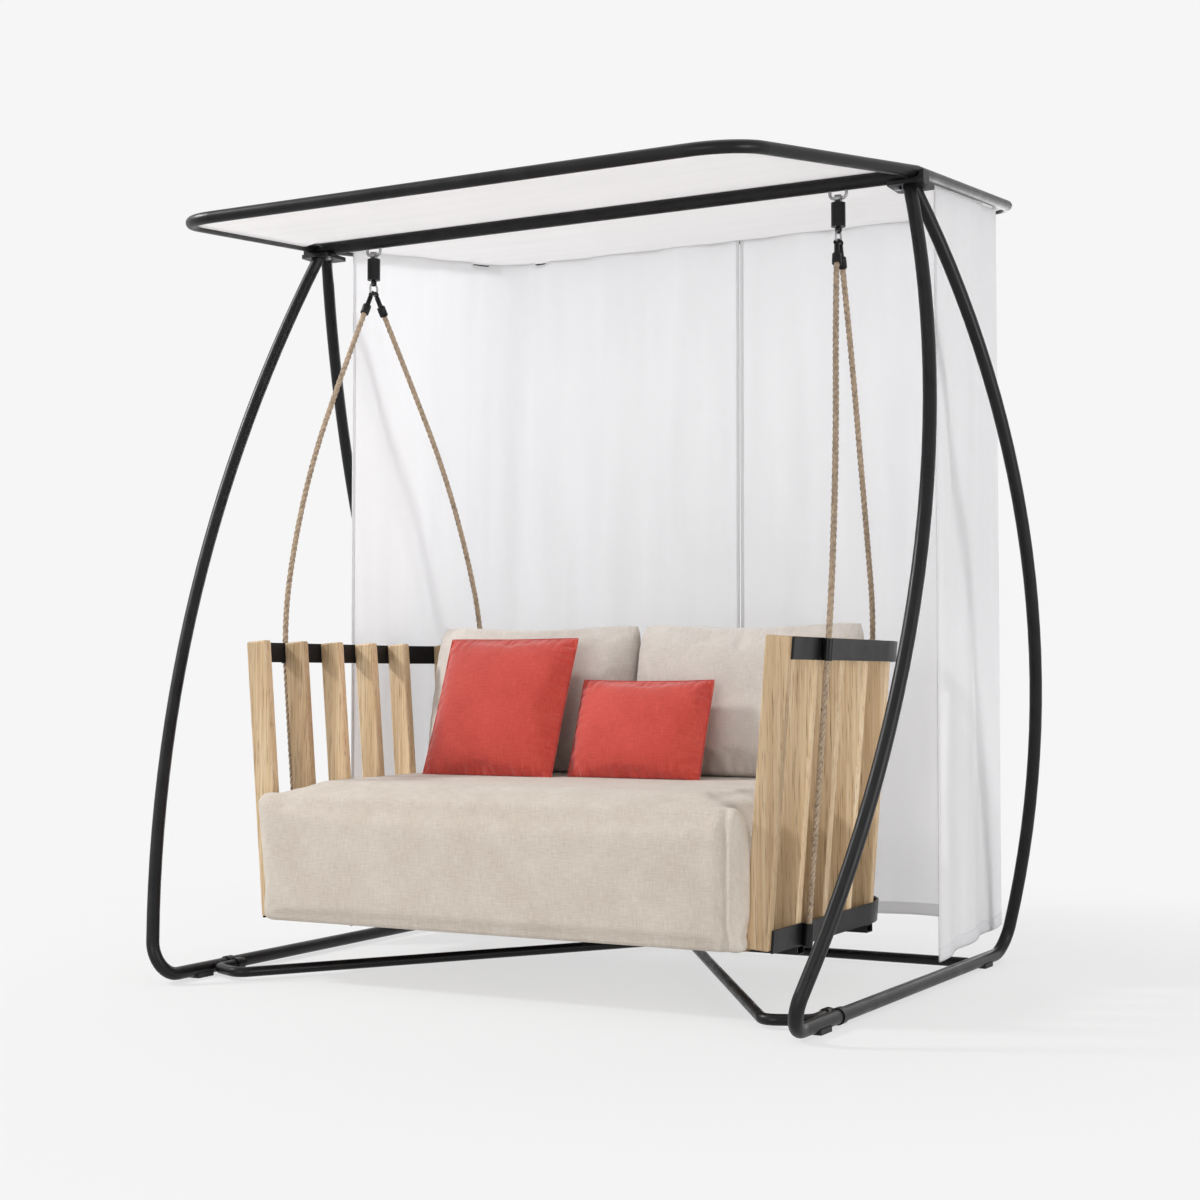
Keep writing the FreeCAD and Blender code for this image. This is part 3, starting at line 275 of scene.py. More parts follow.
# The foot rises from the front edge to the rear, and the head follows the roof, just under it.
HEM_FRONT, HEM_SLOPE = 0.054, math.tan(math.radians(2.2))
ROOF_SLOPE, ROOF_CLEAR = 0.11515, 0.0022
PATH_STEP, HEIGHT_STEPS, HEM_STEPS = 0.0095, 120, 5
# Folds: half a wave each, which wander with the height, and are deeper inwards near the hem.
FOLD_PITCH, REAR_FOLD, SIDE_FOLD, FOLD_DEEPER, FOLD_TOP = 0.118, 0.008, 0.005, 0.7, 2.1
WANDER, WANDER_EASE, WANDER_UP, WANDER_ALONG = 0.012, 0.1, 2.3, 3.1
CRUMPLE, CRUMPLES_ALONG, CRUMPLES_UP, CRUMPLE_FROM_HEM = 0.0016, 9, 1.1, 1.5
# Slits in the head, as lengths past the corner, and how deep they are.
SLITS, SLIT_DEEP, SLIT_EASE = ((-0.075, -0.012), (0.145, 0.270)), 0.013, 0.012


def side_x(y):
    """How far out the side of a right-hand curtain hangs."""
    return RING_HALF - SIDE_SLANT * (y - BEAM_Y) - CURTAIN_INSET


def curtain_line(front):
    """Stations of a right-hand curtain, from its seam round the corner to its front edge: the point,
    the way out, the folds' depth, the straight run it is on, the way along it and the way past the corner."""
    turn_x, turn_y = side_x(REAR_Y) - CORNER_BEND, REAR_Y - CORNER_BEND
    wide = side_x(turn_y) - turn_x
    rear_run, side_run = turn_x - SEAM_HALF, turn_y - front
    corner_run = math.pi / 2 * CORNER_BEND
    stations = []
    steps = round(rear_run / PATH_STEP)
    for k in range(steps):
        way = rear_run * k / steps
        stations.append((Vector((SEAM_HALF + way, REAR_Y, 0)), Vector((0, 1, 0)),
                         REAR_FOLD, rear_run, way, way - rear_run))
    for k in range(CORNER_STEPS):
        angle = math.pi / 2 * (1 - k / CORNER_STEPS)
        out = Vector((math.cos(angle), math.sin(angle), 0))
        stations.append((Vector((turn_x + wide * out.x, turn_y + CORNER_BEND * out.y, 0)), out,
                         0, 1, 0, corner_run * k / CORNER_STEPS))
    steps = round(side_run / PATH_STEP)
    for k in range(steps + 1):
        way = side_run * k / steps
        y, out = turn_y - way, Vector((1, SIDE_SLANT, 0)).normalized()
        stations.append((Vector((side_x(y), y, 0)), out, SIDE_FOLD, side_run, way, corner_run + way))
    return stations


def curtain_grid(front, side, low=0, high=None, first=0, last=None):
    """A stretch of a curtain with its folds: points, faces and places on the cloth. Its heights are above
    the hem, or below the head where they are negative, and first and last are its stations."""
    stations = curtain_line(front)[first:last]
    rows = HEIGHT_STEPS if high is None else HEM_STEPS
    points, spots = [], []
    for place, out, depth, run, way, past in stations:
        halves = max(2, round(run / FOLD_PITCH))
        foot = HEM_FRONT + (place.y - front) * HEM_SLOPE
        head = RIDGE_Z - ROOF_CLEAR + (place.y - BEAM_Y) * ROOF_SLOPE
        for start, end in SLITS:
            if start < past < end:
                head -= SLIT_DEEP * min(1, (past - start) / SLIT_EASE, (end - past) / SLIT_EASE)
        start_z = foot + low if low >= 0 else head + low
        end_z = head if high is None else foot + high if high > 0 else head + high
        free = min(1, way / WANDER_EASE) * min(1, (run - way) / WANDER_EASE)
        for row in range(rows + 1):
            z = start_z + (end_z - start_z) * row / rows
            down = 1 - z / FOLD_TOP
            wander = WANDER * math.sin(WANDER_UP * z + WANDER_ALONG * place.x) * free
            wave = math.sin(math.pi * halves * (way + wander) / run)
            fold = depth * wave * (1 if wave > 0 else 1 + FOLD_DEEPER * down)
            crumple = noise.noise((place.x * CRUMPLES_ALONG, place.y * CRUMPLES_ALONG, z * CRUMPLES_UP))
            fold += CRUMPLE * crumple * min(1, CRUMPLE_FROM_HEM * (1 - down))
            shift = out * fold
            points.append((side * (place.x + shift.x), place.y + shift.y, z))
            spots.append((past, z))
    faces = quads(len(stations), rows + 1)
    return points, [face[::-1] for face in faces] if side < 0 else faces, spots


CURTAIN_FRONT = {"left": BEAM_Y + 0.140, "right": BEAM_Y + 0.250}
HEM_TALL, HEAD_TALL, HEAD_CLEAR, FOOT_CLEAR, HEM_THICK = 0.035, 0.007, 0.0005, 0.001, 2.6 * CLOTH
HEMS = (("foot_hem", {"high": HEM_TALL}), ("head_hem", {"low": -HEAD_TALL, "high": -HEAD_CLEAR}),
        ("seam_hem", {"low": FOOT_CLEAR, "last": 2}), ("front_hem", {"low": FOOT_CLEAR, "first": -2}))
for side_name, side in SIDES:
    front = CURTAIN_FRONT[side_name]
    points, faces, spots = curtain_grid(front, side)
    curtain = build(side_name + "_curtain_cloth_painted_paler", points, faces, curtain_cloth_painted_paler, spots)
    thicken(curtain, CLOTH)
    fix(curtain, "stand", [side_name + "_curtain"])
    for trim, stretch in HEMS:
        points, faces, spots = curtain_grid(front, side, **stretch)
        hem = build(f"{side_name}_curtain_{trim}", points, faces, curtain_cloth_painted_paler, spots)
        thicken(hem, HEM_THICK)
        fix(hem, "stand")

# Hangers: a bent rod under the beam, a swivel eye on it, a black swivel housing and a ring for
# two rope terminals on each side. Plated steel and powder-coated steel.
dress(bright_steel, [f"{side}_{part}" for side, _ in SIDES
                     for part in ("hanger_loop", "swivel_eye", "swivel_ring")])
dress(bright_steel, ["swivel_bearings"])
dress(powder_coat, ["left_swivel_housing", "right_swivel_housing"])

# Ropes: four three-strand ropes of beige spun fibre, 16 mm thick. Each is fixed in a terminal,
# goes through a guide on the upper band and ends in an anchor on the lower band.

# Spun fibre rope: matt strands, beige with grey flecks, and fine fibres that run with the lay.
FLECK, FIBRE = 0.009, 0.0016
spun_rope, tree, shader = new_finish("spun_fibre_rope")
where = add(tree, "TexCoord").outputs["Object"]
flecks = add(tree, "TexNoise", {"Vector": where, "Scale": 1 / FLECK, "Detail": 3, "Roughness": 0.7})
fibres = add(tree, "TexNoise", {"Vector": where, "Scale": 1 / FIBRE, "Detail": 2})
tint = add(tree, "ValToRGB", {"Fac": flecks.outputs["Fac"]},
           [(0.3, "#71665c"), (0.45, "#a38f79"), (0.7, "#c0ab91")])
bump = add(tree, "Bump", {"Height": fibres.outputs["Fac"], "Distance": 0.0006, "Strength": 0.5})
plug(tree, shader, {"Base Color": tint.outputs["Color"], "Normal": bump.outputs["Normal"],
                    "Roughness": 0.9, "Sheen Weight": 0.2})


def circle(sides):
    """The cosine and sine of each step round a circle."""
    return [(math.cos(a), math.sin(a)) for a in (2 * math.pi * k / sides for k in range(sides))]


def skin(first, rings, sides):
    """The faces of rings of points, one after another, with both ends closed."""
    faces = []
    for ring in range(first, first + (rings - 1) * sides, sides):
        faces += [(ring + k, ring + (k + 1) % sides, ring + sides + (k + 1) % sides, ring + sides + k)
                  for k in range(sides)]
    end = first + rings * sides
    return faces + [tuple(range(first + sides - 1, first - 1, -1)), tuple(range(end - sides, end))]


ROPE, STRANDS, LAY_LENGTH = 0.016, 3, 0.052
STRAND_R, STRAND_SIDES, LINE_STEPS = 0.0043, 8, 80
LAY_R = ROPE / 2 - STRAND_R
# The source's route points, and one on the straight run below the bend at the guide.
ROPE_ROUTES = {
    "front": [(0.70365, -0.13367, 1.81834), (0.73104, -0.21361, 1.61782), (0.76407, -0.29712, 1.38330),
              (0.78211, -0.35762, 1.14878), (0.78715, -0.39812, 0.91426), (0.76848, -0.39812, 0.67700),
              (0.72744, -0.39812, 0.15556)],
    "rear": [(0.69548, -0.08151, 1.82068), (0.67295, 0.03777, 1.61782), (0.64490, 0.16766, 1.38330),
             (0.62785, 0.26755, 1.14878), (0.61879, 0.34344, 0.91426), (0.60882, 0.32685, 0.66826),
             (0.58804, 0.29226, 0.15556)],
}


def rope_line(route, side):
    """Points along a rope's own smooth line."""
    line = bpy.data.curves.new("rope_line", "CURVE")
    line.dimensions, line.resolution_u = "3D", LINE_STEPS
    spline = line.splines.new("NURBS")
    spline.points.add(len(route) - 1)
    for point, (x, y, z) in zip(spline.points, route):
        point.co = (side * x, y, z, 1)
    spline.order_u, spline.use_endpoint_u = 3, True
    holder = bpy.data.objects.new("rope_line", line)
    points = [v.co.copy() for v in bpy.data.meshes.new_from_object(holder).vertices]
    bpy.data.objects.remove(holder)
    return points


def strand(centre, begin):
    """Rings of one strand that winds round a rope's line, from its own place round the rope."""
    rings, gone, across = [], 0.0, Vector((1, 0, 0))
    for at, place in enumerate(centre):
        ahead = (centre[min(at + 1, len(centre) - 1)] - centre[max(at - 1, 0)]).normalized()
        gone += (place - centre[at - 1]).length if at else 0
        across = (across - ahead * across.dot(ahead)).normalized()
        turn = 2 * math.pi * (gone / LAY_LENGTH + begin)
        out = across * math.cos(turn) + ahead.cross(across) * math.sin(turn)
        tip = (ahead + ahead.cross(out) * (2 * math.pi * LAY_R / LAY_LENGTH)).normalized()
        lift = tip.cross(out).normalized()
        rings += [place + out * LAY_R + (out * c + lift * s) * STRAND_R for c, s in circle(STRAND_SIDES)]
    return rings


for rope_name, route in ROPE_ROUTES.items():
    for side_name, side in SIDES:
        centre = rope_line(route, side)
        verts, faces = [], []
        for k in range(STRANDS):
            faces += skin(len(verts), len(centre), STRAND_SIDES)
            verts += strand(centre, k / STRANDS)
        rope = build(f"{side_name}_{rope_name}_rope_lay", verts, faces, spun_rope)
        fix(rope, "seat", [f"{side_name}_{rope_name}_rope"])
dress(powder_coat, ["rope_guides", "rope_anchors"])

# Rope terminals: a welded eye on the swivel ring, a slim neck and a thicker collar that the rope
# is pressed into. Turned from steel and powder coated like the frame.
EYE_R, EYE_ROD_R, EYE_SPREAD, EYE_STEPS, EYE_SIDES = 0.0064, 0.0030, math.radians(36), 24, 10
# How far the neck starts above the rope's end, and the eye's middle above the neck.
NECK_ABOVE, EYE_ABOVE, NECK_SIDES = 0.029, 0.0079, 24
# Ways down from the neck's start, and the radius there. The last is inside the collar's mouth.
NECK_PROFILE = [(0, 0.0050), (0.001, 0.0066), (0.027, 0.0068), (0.0285, 0.0085), (0.030, 0.0110),
                (0.0315, 0.0118), (0.0565, 0.0118), (0.058, 0.0106), (0.058, 0.0086), (0.050, 0.0082)]
verts, faces = [], []
for rope_name, toward in (("front", -1), ("rear", 1)):
    for _, side in SIDES:
        top, below = (Vector((side * x, y, z)) for x, y, z in ROPE_ROUTES[rope_name][:2])
        pull = (below - top).normalized()
        start = top - pull * NECK_ABOVE
        across = pull.cross(Vector((0, 0, 1))).normalized()
        other = pull.cross(across)
        faces += skin(len(verts), len(NECK_PROFILE), NECK_SIDES)
        for far, radius in NECK_PROFILE:
            verts += [start + pull * far + (across * c + other * s) * radius for c, s in circle(NECK_SIDES)]
        hook, first = start - pull * EYE_ABOVE, len(verts)
        axis = Vector((0, math.cos(EYE_SPREAD), toward * math.sin(EYE_SPREAD)))
        across = Vector((1, 0, 0))
        other = axis.cross(across)
        for step, (along, up) in enumerate(circle(EYE_STEPS)):
            out = across * along + other * up
            verts += [hook + out * (EYE_R + EYE_ROD_R * c) + axis * EYE_ROD_R * s
                      for c, s in circle(EYE_SIDES)]
            ring, after = first + step * EYE_SIDES, first + (step + 1) % EYE_STEPS * EYE_SIDES
            faces += [(ring + k, ring + (k + 1) % EYE_SIDES, after + (k + 1) % EYE_SIDES, after + k)
                      for k in range(EYE_SIDES)]
terminals = build("rope_terminal_collars", verts, faces, powder_coat)
fix(terminals, "seat", ["rope_terminals"])

# Basket: two flat steel bands bent into a U and powder coated, which carry upright teak slats.
# The slats are sawn and rounded over, oiled, and screwed to the bands from inside.
dress(powder_coat, ["lower_band", "upper_band"])

# Oiled teak: straight golden-brown grain along each slat, fine dark pores, and boards that differ in tone.
GRAIN, GRAIN_LONG, PORE, PORE_LONG, BOARD, BOARD_LONG = 0.006, 0.35, 0.0022, 1 / 12, 0.11, 2.5
COLOUR_A, COLOUR_B, COLOUR_MIXED = 6, 7, 2  # the colour sockets of a mixing node
oiled_teak, tree, shader = new_finish("oiled_teak")
where = add(tree, "TexCoord").outputs["Object"]
along, fine, flat_way = (
    add(tree, "Mapping", {"Vector": where, "Scale": (1 / wide, 1 / wide, 1 / long)}).outputs["Vector"]
    for wide, long in ((GRAIN, GRAIN_LONG), (PORE, PORE_LONG), (BOARD, BOARD_LONG)))
grain = add(tree, "TexNoise", {"Vector": along, "Scale": 1, "Detail": 5, "Roughness": 0.6, "Distortion": 0.4})
pores = add(tree, "TexNoise", {"Vector": fine, "Scale": 1, "Detail": 2})
board = add(tree, "TexNoise", {"Vector": flat_way, "Scale": 1, "Detail": 0})
tint = add(tree, "ValToRGB", {"Fac": grain.outputs["Fac"]},
           [(0.25, "#c8a47a"), (0.5, "#e4c8a0"), (0.75, "#f3e0c0")]).outputs["Color"]
tone = add(tree, "ValToRGB", {"Fac": board.outputs["Fac"]}, [(0.25, "#c9c2ba"), (0.7, "#ffffff")])
dark = add(tree, "ValToRGB", {"Fac": pores.outputs["Fac"]}, [(0.28, "#a99a8c"), (0.42, "#ffffff")])
for layer in (tone, dark):
    tint = add(tree, "Mix", {"Factor": 1.0, COLOUR_A: tint, COLOUR_B: layer.outputs["Color"]},
               data_type="RGBA", blend_type="MULTIPLY").outputs[COLOUR_MIXED]
gloss = add(tree, "MapRange", {"Value": grain.outputs["Fac"], "To Min": 0.62, "To Max": 0.45})
bump = add(tree, "Bump", {"Height": pores.outputs["Fac"], "Distance": 0.0003, "Strength": 0.4})
plug(tree, shader, {"Base Color": tint, "Roughness": gloss.outputs["Result"],
                    "Normal": bump.outputs["Normal"]})
ARM_SLATS = 6
dress(oiled_teak, [f"{side}_arm_slat_{k + 1}" for side, _ in SIDES for k in range(ARM_SLATS)])
dress(oiled_teak, ["back_slats"])

# Seat base: two powder-coated box rails across the basket carry a plywood board, which lies loose
# under the cushion.
dress(powder_coat, ["seat_crossrails"])

# Plywood: rotary-cut face with broad pale waves of grain, left raw.
PLY_WAVE, PLY_LONG = 0.05, 0.30
plywood, tree, shader = new_finish("raw_plywood")
where = add(tree, "TexCoord").outputs["Object"]
stretched = add(tree, "Mapping", {"Vector": where, "Scale": (1 / PLY_LONG, 1 / PLY_WAVE, 1 / PLY_WAVE)})
waves = add(tree, "TexNoise", {"Vector": stretched.outputs["Vector"], "Scale": 1, "Detail": 6,
                               "Distortion": 1.2})
tint = add(tree, "ValToRGB", {"Fac": waves.outputs["Fac"]}, [(0.3, "#9b7a54"), (0.7, "#c3a379")])
bump = add(tree, "Bump", {"Height": waves.outputs["Fac"], "Distance": 0.0005, "Strength": 0.3})
plug(tree, shader, {"Base Color": tint.outputs["Color"], "Normal": bump.outputs["Normal"], "Roughness": 0.8})
dress(plywood, ["seat_platform"])

# Seat cushion: one thick foam cushion in a greige linen cover, with a rolled top edge and a front
# that turns over the ends of the arms, where a seam sets off a narrow panel at the right.

# Linen weave: matt threads with slubs in both directions. The threads are 0.8 mm apart in life and drawn
# at 2.6 mm, the slubs are 30 mm long, and the dye takes unevenly over a hand's breadth.
LINEN_THREAD, SLUB_LONG, SLUB_WIDE, DYE = 0.0026, 0.03, 0.003, 0.12


def linen(name, dark, middle, pale):
    """Linen cloth in three tones of one colour."""
    finish, tree, shader = new_finish(name)
    where = add(tree, "Attribute", attribute_name="cloth").outputs["Vector"]
    heights = []
    for way, sizes in (("X", (1 / SLUB_WIDE, 1 / SLUB_LONG, 1)), ("Y", (1 / SLUB_LONG, 1 / SLUB_WIDE, 1))):
        weave = add(tree, "TexWave", {"Vector": where, "Scale": BAND_TURN / LINEN_THREAD, "Distortion": 1.2,
                                      "Detail": 1, "Detail Scale": 0.6}, bands_direction=way)
        pulled = add(tree, "Mapping", {"Vector": where, "Scale": sizes})
        slub = add(tree, "TexNoise", {"Vector": pulled.outputs["Vector"], "Scale": 1, "Detail": 3})
        half = add(tree, "Math", {0: weave.outputs["Fac"], 1: 0.4}, operation="MULTIPLY")
        both = add(tree, "Math", {0: slub.outputs["Fac"], 1: half.outputs[0]}, operation="ADD")
        heights.append(both.outputs[0])
    threads = add(tree, "Math", {0: heights[0], 1: heights[1]}, operation="ADD").outputs[0]
    dye = add(tree, "TexNoise", {"Vector": where, "Scale": 1 / DYE, "Detail": 5, "Roughness": 0.6})
    worn = add(tree, "Math", {0: threads, 1: dye.outputs["Fac"]}, operation="ADD")
    spread = add(tree, "MapRange", {"Value": worn.outputs[0], "From Min": 1.25, "From Max": 2.55})
    tint = add(tree, "ValToRGB", {"Fac": spread.outputs["Result"]}, [(0.0, dark), (0.5, middle), (1.0, pale)])
    bump = add(tree, "Bump", {"Height": threads, "Distance": 0.0006, "Strength": 0.35})
    plug(tree, shader, {"Base Color": tint.outputs["Color"], "Normal": bump.outputs["Normal"],
                        "Roughness": 0.9, "Sheen Weight": 0.25})
    return finish


def stuff(pad, pressure, caps, frames, stiffness, held=()):
    """Blows a closed cover out against its filling by cloth simulation, no point further than its cap."""
    starts = [v.co.copy() for v in pad.data.vertices]
    cloth = pad.modifiers.new("filling", "CLOTH")
    cover = cloth.settings
    cover.quality, cover.mass = 5, 0.3
    cover.tension_stiffness = cover.compression_stiffness = stiffness
    cover.shear_stiffness, cover.bending_stiffness = stiffness / 4, 0.15
    cover.use_pressure, cover.uniform_pressure_force = True, pressure
    cover.effector_weights.gravity = 0
    cloth.collision_settings.use_collision = False
    if held:
        pad.vertex_groups.new(name="held").add(held, 1, "REPLACE")
        cover.vertex_group_mass = "held"
    for step in range(1, frames + 1):
        scene.frame_set(step)
    filled = pad.evaluated_get(bpy.context.evaluated_depsgraph_get()).data
    moves = [v.co - start for v, start in zip(filled.vertices, starts)]
    pad.modifiers.remove(cloth)
    pad.vertex_groups.clear()
    scene.frame_set(1)
    for vertex, start, move, cap in zip(pad.data.vertices, starts, moves, caps):
        vertex.co = start + move * min(1, cap / max(move.length, 1e-9))


def settle(pad, low, high):
    """Brings a cover to the size of the space it fills."""
    spots = [v.co for v in pad.data.vertices]
    for k in range(3):
        least, most = min(spot[k] for spot in spots), max(spot[k] for spot in spots)
        for spot in spots:
            spot[k] = low[k] + (spot[k] - least) / (most - least) * (high[k] - low[k])


def refine(pad):
    """Rounds a cover off by one subdivision."""
    finer = pad.modifiers.new("finer", "SUBSURF")
    finer.levels = finer.render_levels = 1


seat_linen = linen("greige_linen", "#b3a698", "#c8bdb0", "#d8cfc5")

# The cushion between the arms: round corners behind, which flare with the arms, and a rolled top.
seat_low, seat_high = (Vector(corner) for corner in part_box("seat_cushion"))
SEAT_ROLL, ROLL_STEPS, FRONT_ROLL = 0.072, 10, 0.7
SEAT_CORNER_X, SEAT_CORNER_Y, SEAT_R_LOW, CORNER_TURNS = 0.440, BEAM_Y + 0.156, 0.202, 12
FLARE, SEAT_HALF, END_BEVEL, END_RUN = math.tan(math.radians(4.5)), 0.642, 0.012, 0.1
rise_all = seat_high.z - seat_low.z
# Height above the foot, and the share of the roll that the sides and back are drawn in.
seat_levels = [(0.0, 0.10), (0.005, 0.04), (0.014, 0)] + [
    (rise_all - SEAT_ROLL * (1 - math.sin(a)), 1 - math.cos(a))
    for a in (math.radians(90 / ROLL_STEPS * k) for k in range(ROLL_STEPS + 1))]
verts = []
for rise, draw in seat_levels:
    inset = SEAT_ROLL * draw
    radius = SEAT_R_LOW + FLARE * rise - inset
    front, z = seat_low.y + inset * FRONT_ROLL, seat_low.z + rise
    half = min(SEAT_CORNER_X + radius, SEAT_HALF - inset)
    right = [(half - END_BEVEL, front, z), (half, front + END_BEVEL, z), (half, front + END_RUN, z)]
    right += [(SEAT_CORNER_X + radius * math.cos(a), SEAT_CORNER_Y + radius * math.sin(a), z)
              for a in (math.pi / 2 * k / CORNER_TURNS for k in range(CORNER_TURNS + 1))]
    verts += right + [(-x, y, z) for x, y, z in right[::-1]]
faces = skin(0, len(seat_levels), len(verts) // len(seat_levels))

# The front turns over the arm ends: a slab with round corners and edges, one skin with the rest.
FRONT_LOW, FRONT_TOP, FRONT_BACK = seat_low.z - 0.010, seat_high.z - 0.016, BEAM_Y - 0.484
FRONT_EDGE, FOOT_EDGE, FRONT_CORNER, FOOT_CORNER, TURN_STEP = 0.016, 0.4, 0.030, 0.012, 15
# Shares of the edge's depth, and of how far it is drawn in there.
EDGE_ROUND = ((0, 0.7), (0.3, 0.25), (1, 0))
slab_levels = [(seat_low.y + FRONT_EDGE * deep, share) for deep, share in EDGE_ROUND]
slab_levels += [(FRONT_BACK - FRONT_EDGE * deep, share) for deep, share in EDGE_ROUND[::-1]]
slab = []
for y, share in slab_levels:
    inset = FRONT_EDGE * share
    x, low, high = seat_high.x - inset, FRONT_LOW + FOOT_EDGE * inset, FRONT_TOP - inset
    for begin, cx, cz, bend, inward in (
            (0, x, high, FRONT_CORNER, -1), (90, -x, high, FRONT_CORNER, -1),
            (180, -x, low, FOOT_CORNER, 1), (270, x, low, FOOT_CORNER, 1)):
        for turn in range(0, 91, TURN_STEP):
            a = math.radians(begin + turn)
            slab.append((cx - math.copysign(bend, cx) + bend * math.cos(a), y,
                         cz + inward * bend + bend * math.sin(a)))
first, count = len(verts), len(slab) // len(slab_levels)
verts += slab
for at in range(first, len(verts) - count, count):
    faces += [(at + k, at + count + k, at + count + (k + 1) % count, at + (k + 1) % count)
              for k in range(count)]
faces += [tuple(range(first, first + count)), tuple(range(len(verts) - 1, len(verts) - count - 1, -1))]
seat = build("seat_cushion_cover", verts, faces, seat_linen)

# Both become one skin, which the filling then pushes out.
SEAT_VOXEL, SEAT_PUFF, SEAT_HELD = 0.009, 0.008, 0.02
skinned = seat.modifiers.new("one_skin", "REMESH")
skinned.mode, skinned.voxel_size, skinned.use_smooth_shade = "VOXEL", SEAT_VOXEL, True
even = seat.modifiers.new("even", "SMOOTH")
even.factor, even.iterations = 0.5, 5
whole = bpy.data.meshes.new_from_object(seat.evaluated_get(bpy.context.evaluated_depsgraph_get()))
seat.modifiers.clear()
seat.data = whole
stuff(seat, pressure=3, caps=[SEAT_PUFF] * len(whole.vertices), frames=12, stiffness=20,
      held=[v.index for v in whole.vertices if v.co.z < seat_low.z + SEAT_HELD])
settle(seat, (seat_low.x, seat_low.y, FRONT_LOW), seat_high)

# Worn wider at the top of the left end, where the filling has been pushed outwards.
LEFT_WIDER, LEFT_FROM, LEFT_SLACK = 0.045, -0.50, 0.004
for vertex in whole.vertices:
    if vertex.co.x < LEFT_FROM and vertex.co.y < FRONT_BACK + LEFT_SLACK:
        share = (LEFT_FROM - vertex.co.x) / (LEFT_FROM - seat_low.x)
        vertex.co.x -= LEFT_WIDER * share ** 2 * (vertex.co.z - FRONT_LOW) / (seat_high.z - FRONT_LOW)
# The right end panel's seam: a narrow groove down the front, where the cover is drawn in.
SEAM_X, SEAM_WIDE, SEAM_DEEP, SEAM_REACH = 0.624, 0.010, 0.013, 0.045
for vertex in whole.vertices:
    if vertex.co.y < seat_low.y + SEAM_REACH:
        off = abs(vertex.co.x - SEAM_X)
        vertex.co.y += SEAM_DEEP * math.exp(-(off / SEAM_WIDE) ** 2)
# The weave runs up the front, over the edge and back, and round the ends of the front.
END_FROM, END_EASE, END_REACH = 0.6, 0.04, 0.06
spots = []
for x, y, z in (v.co for v in whole.vertices):
    round_end = min(1, max(0, (abs(x) - END_FROM) / END_EASE))
    spots.append((x + math.copysign(min(y - seat_low.y, END_REACH), x) * round_end, y + z))
lay_cloth(whole, spots)
refine(seat)
fix(seat, "seat", ["seat_cushion"])

# Back cushions: two soft block cushions in taupe linen, which lean on the back slats. Their covers
# are sewn from a front and a back, and puff out between the seams.
back_linen = linen("taupe_linen", "#b5aca3", "#c8c0b8", "#d6cfc8")
CORNER_SHARP = 6


def pillow(half, steps, draw, corner, fullness):
    """A closed cover of two faces sewn round their edge, its sides and top drawn in between the
    rounded corners: points, faces, places on the cloth, and the points along the edge."""
    columns, rows = steps
    verts, faces, spots, index = [], [], [], {}
    for face in (-1, 1):
        for row in range(rows + 1):
            for column in range(columns + 1):
                u, v = 2 * column / columns - 1, 2 * row / rows - 1
                if face == 1 and (abs(u) == 1 or abs(v) == 1):
                    index[face, column, row] = index[-1, column, row]
                    continue
                full = (max(1 - u * u, 0) * max(1 - v * v, 0)) ** fullness
                outer = max(abs(u), abs(v), 1e-9)
                bent = corner * outer * (min(abs(u), abs(v)) / outer) ** CORNER_SHARP
                index[face, column, row] = len(verts)
                verts.append((u * (half[0] - draw[0] * (1 - v * v)) - math.copysign(bent, u),
                              face * half[1] * full,
                              v * (half[2] - draw[1] * (1 - u * u) * (v > 0)) - math.copysign(bent, v)))
                spots.append((u * half[0], v * half[2]))
        for row in range(rows):
            for column in range(columns):
                ring = [index[face, column + i, row + j] for i, j in ((0, 0), (1, 0), (1, 1), (0, 1))]
                faces.append(tuple(ring if face < 0 else ring[::-1]))
    edge = [index[-1, c, 0] for c in range(columns)] + [index[-1, columns, r] for r in range(rows)]
    edge += [index[-1, c, rows] for c in range(columns, 0, -1)]
    edge += [index[-1, 0, r] for r in range(rows, 0, -1)]
    return verts, faces, spots, edge


START_THIN, CAP_EASE = 0.85, 0.07
CREASE_WIDE, CREASE_EASE, CREASE_SHORT, CREASE_VARIES = 0.22, 0.006, 0.6, 0.8
CREASE_THROUGH, CREASE_SLICE, EDGES_APART, FACES_APART = 3, 7.7, 3, 9


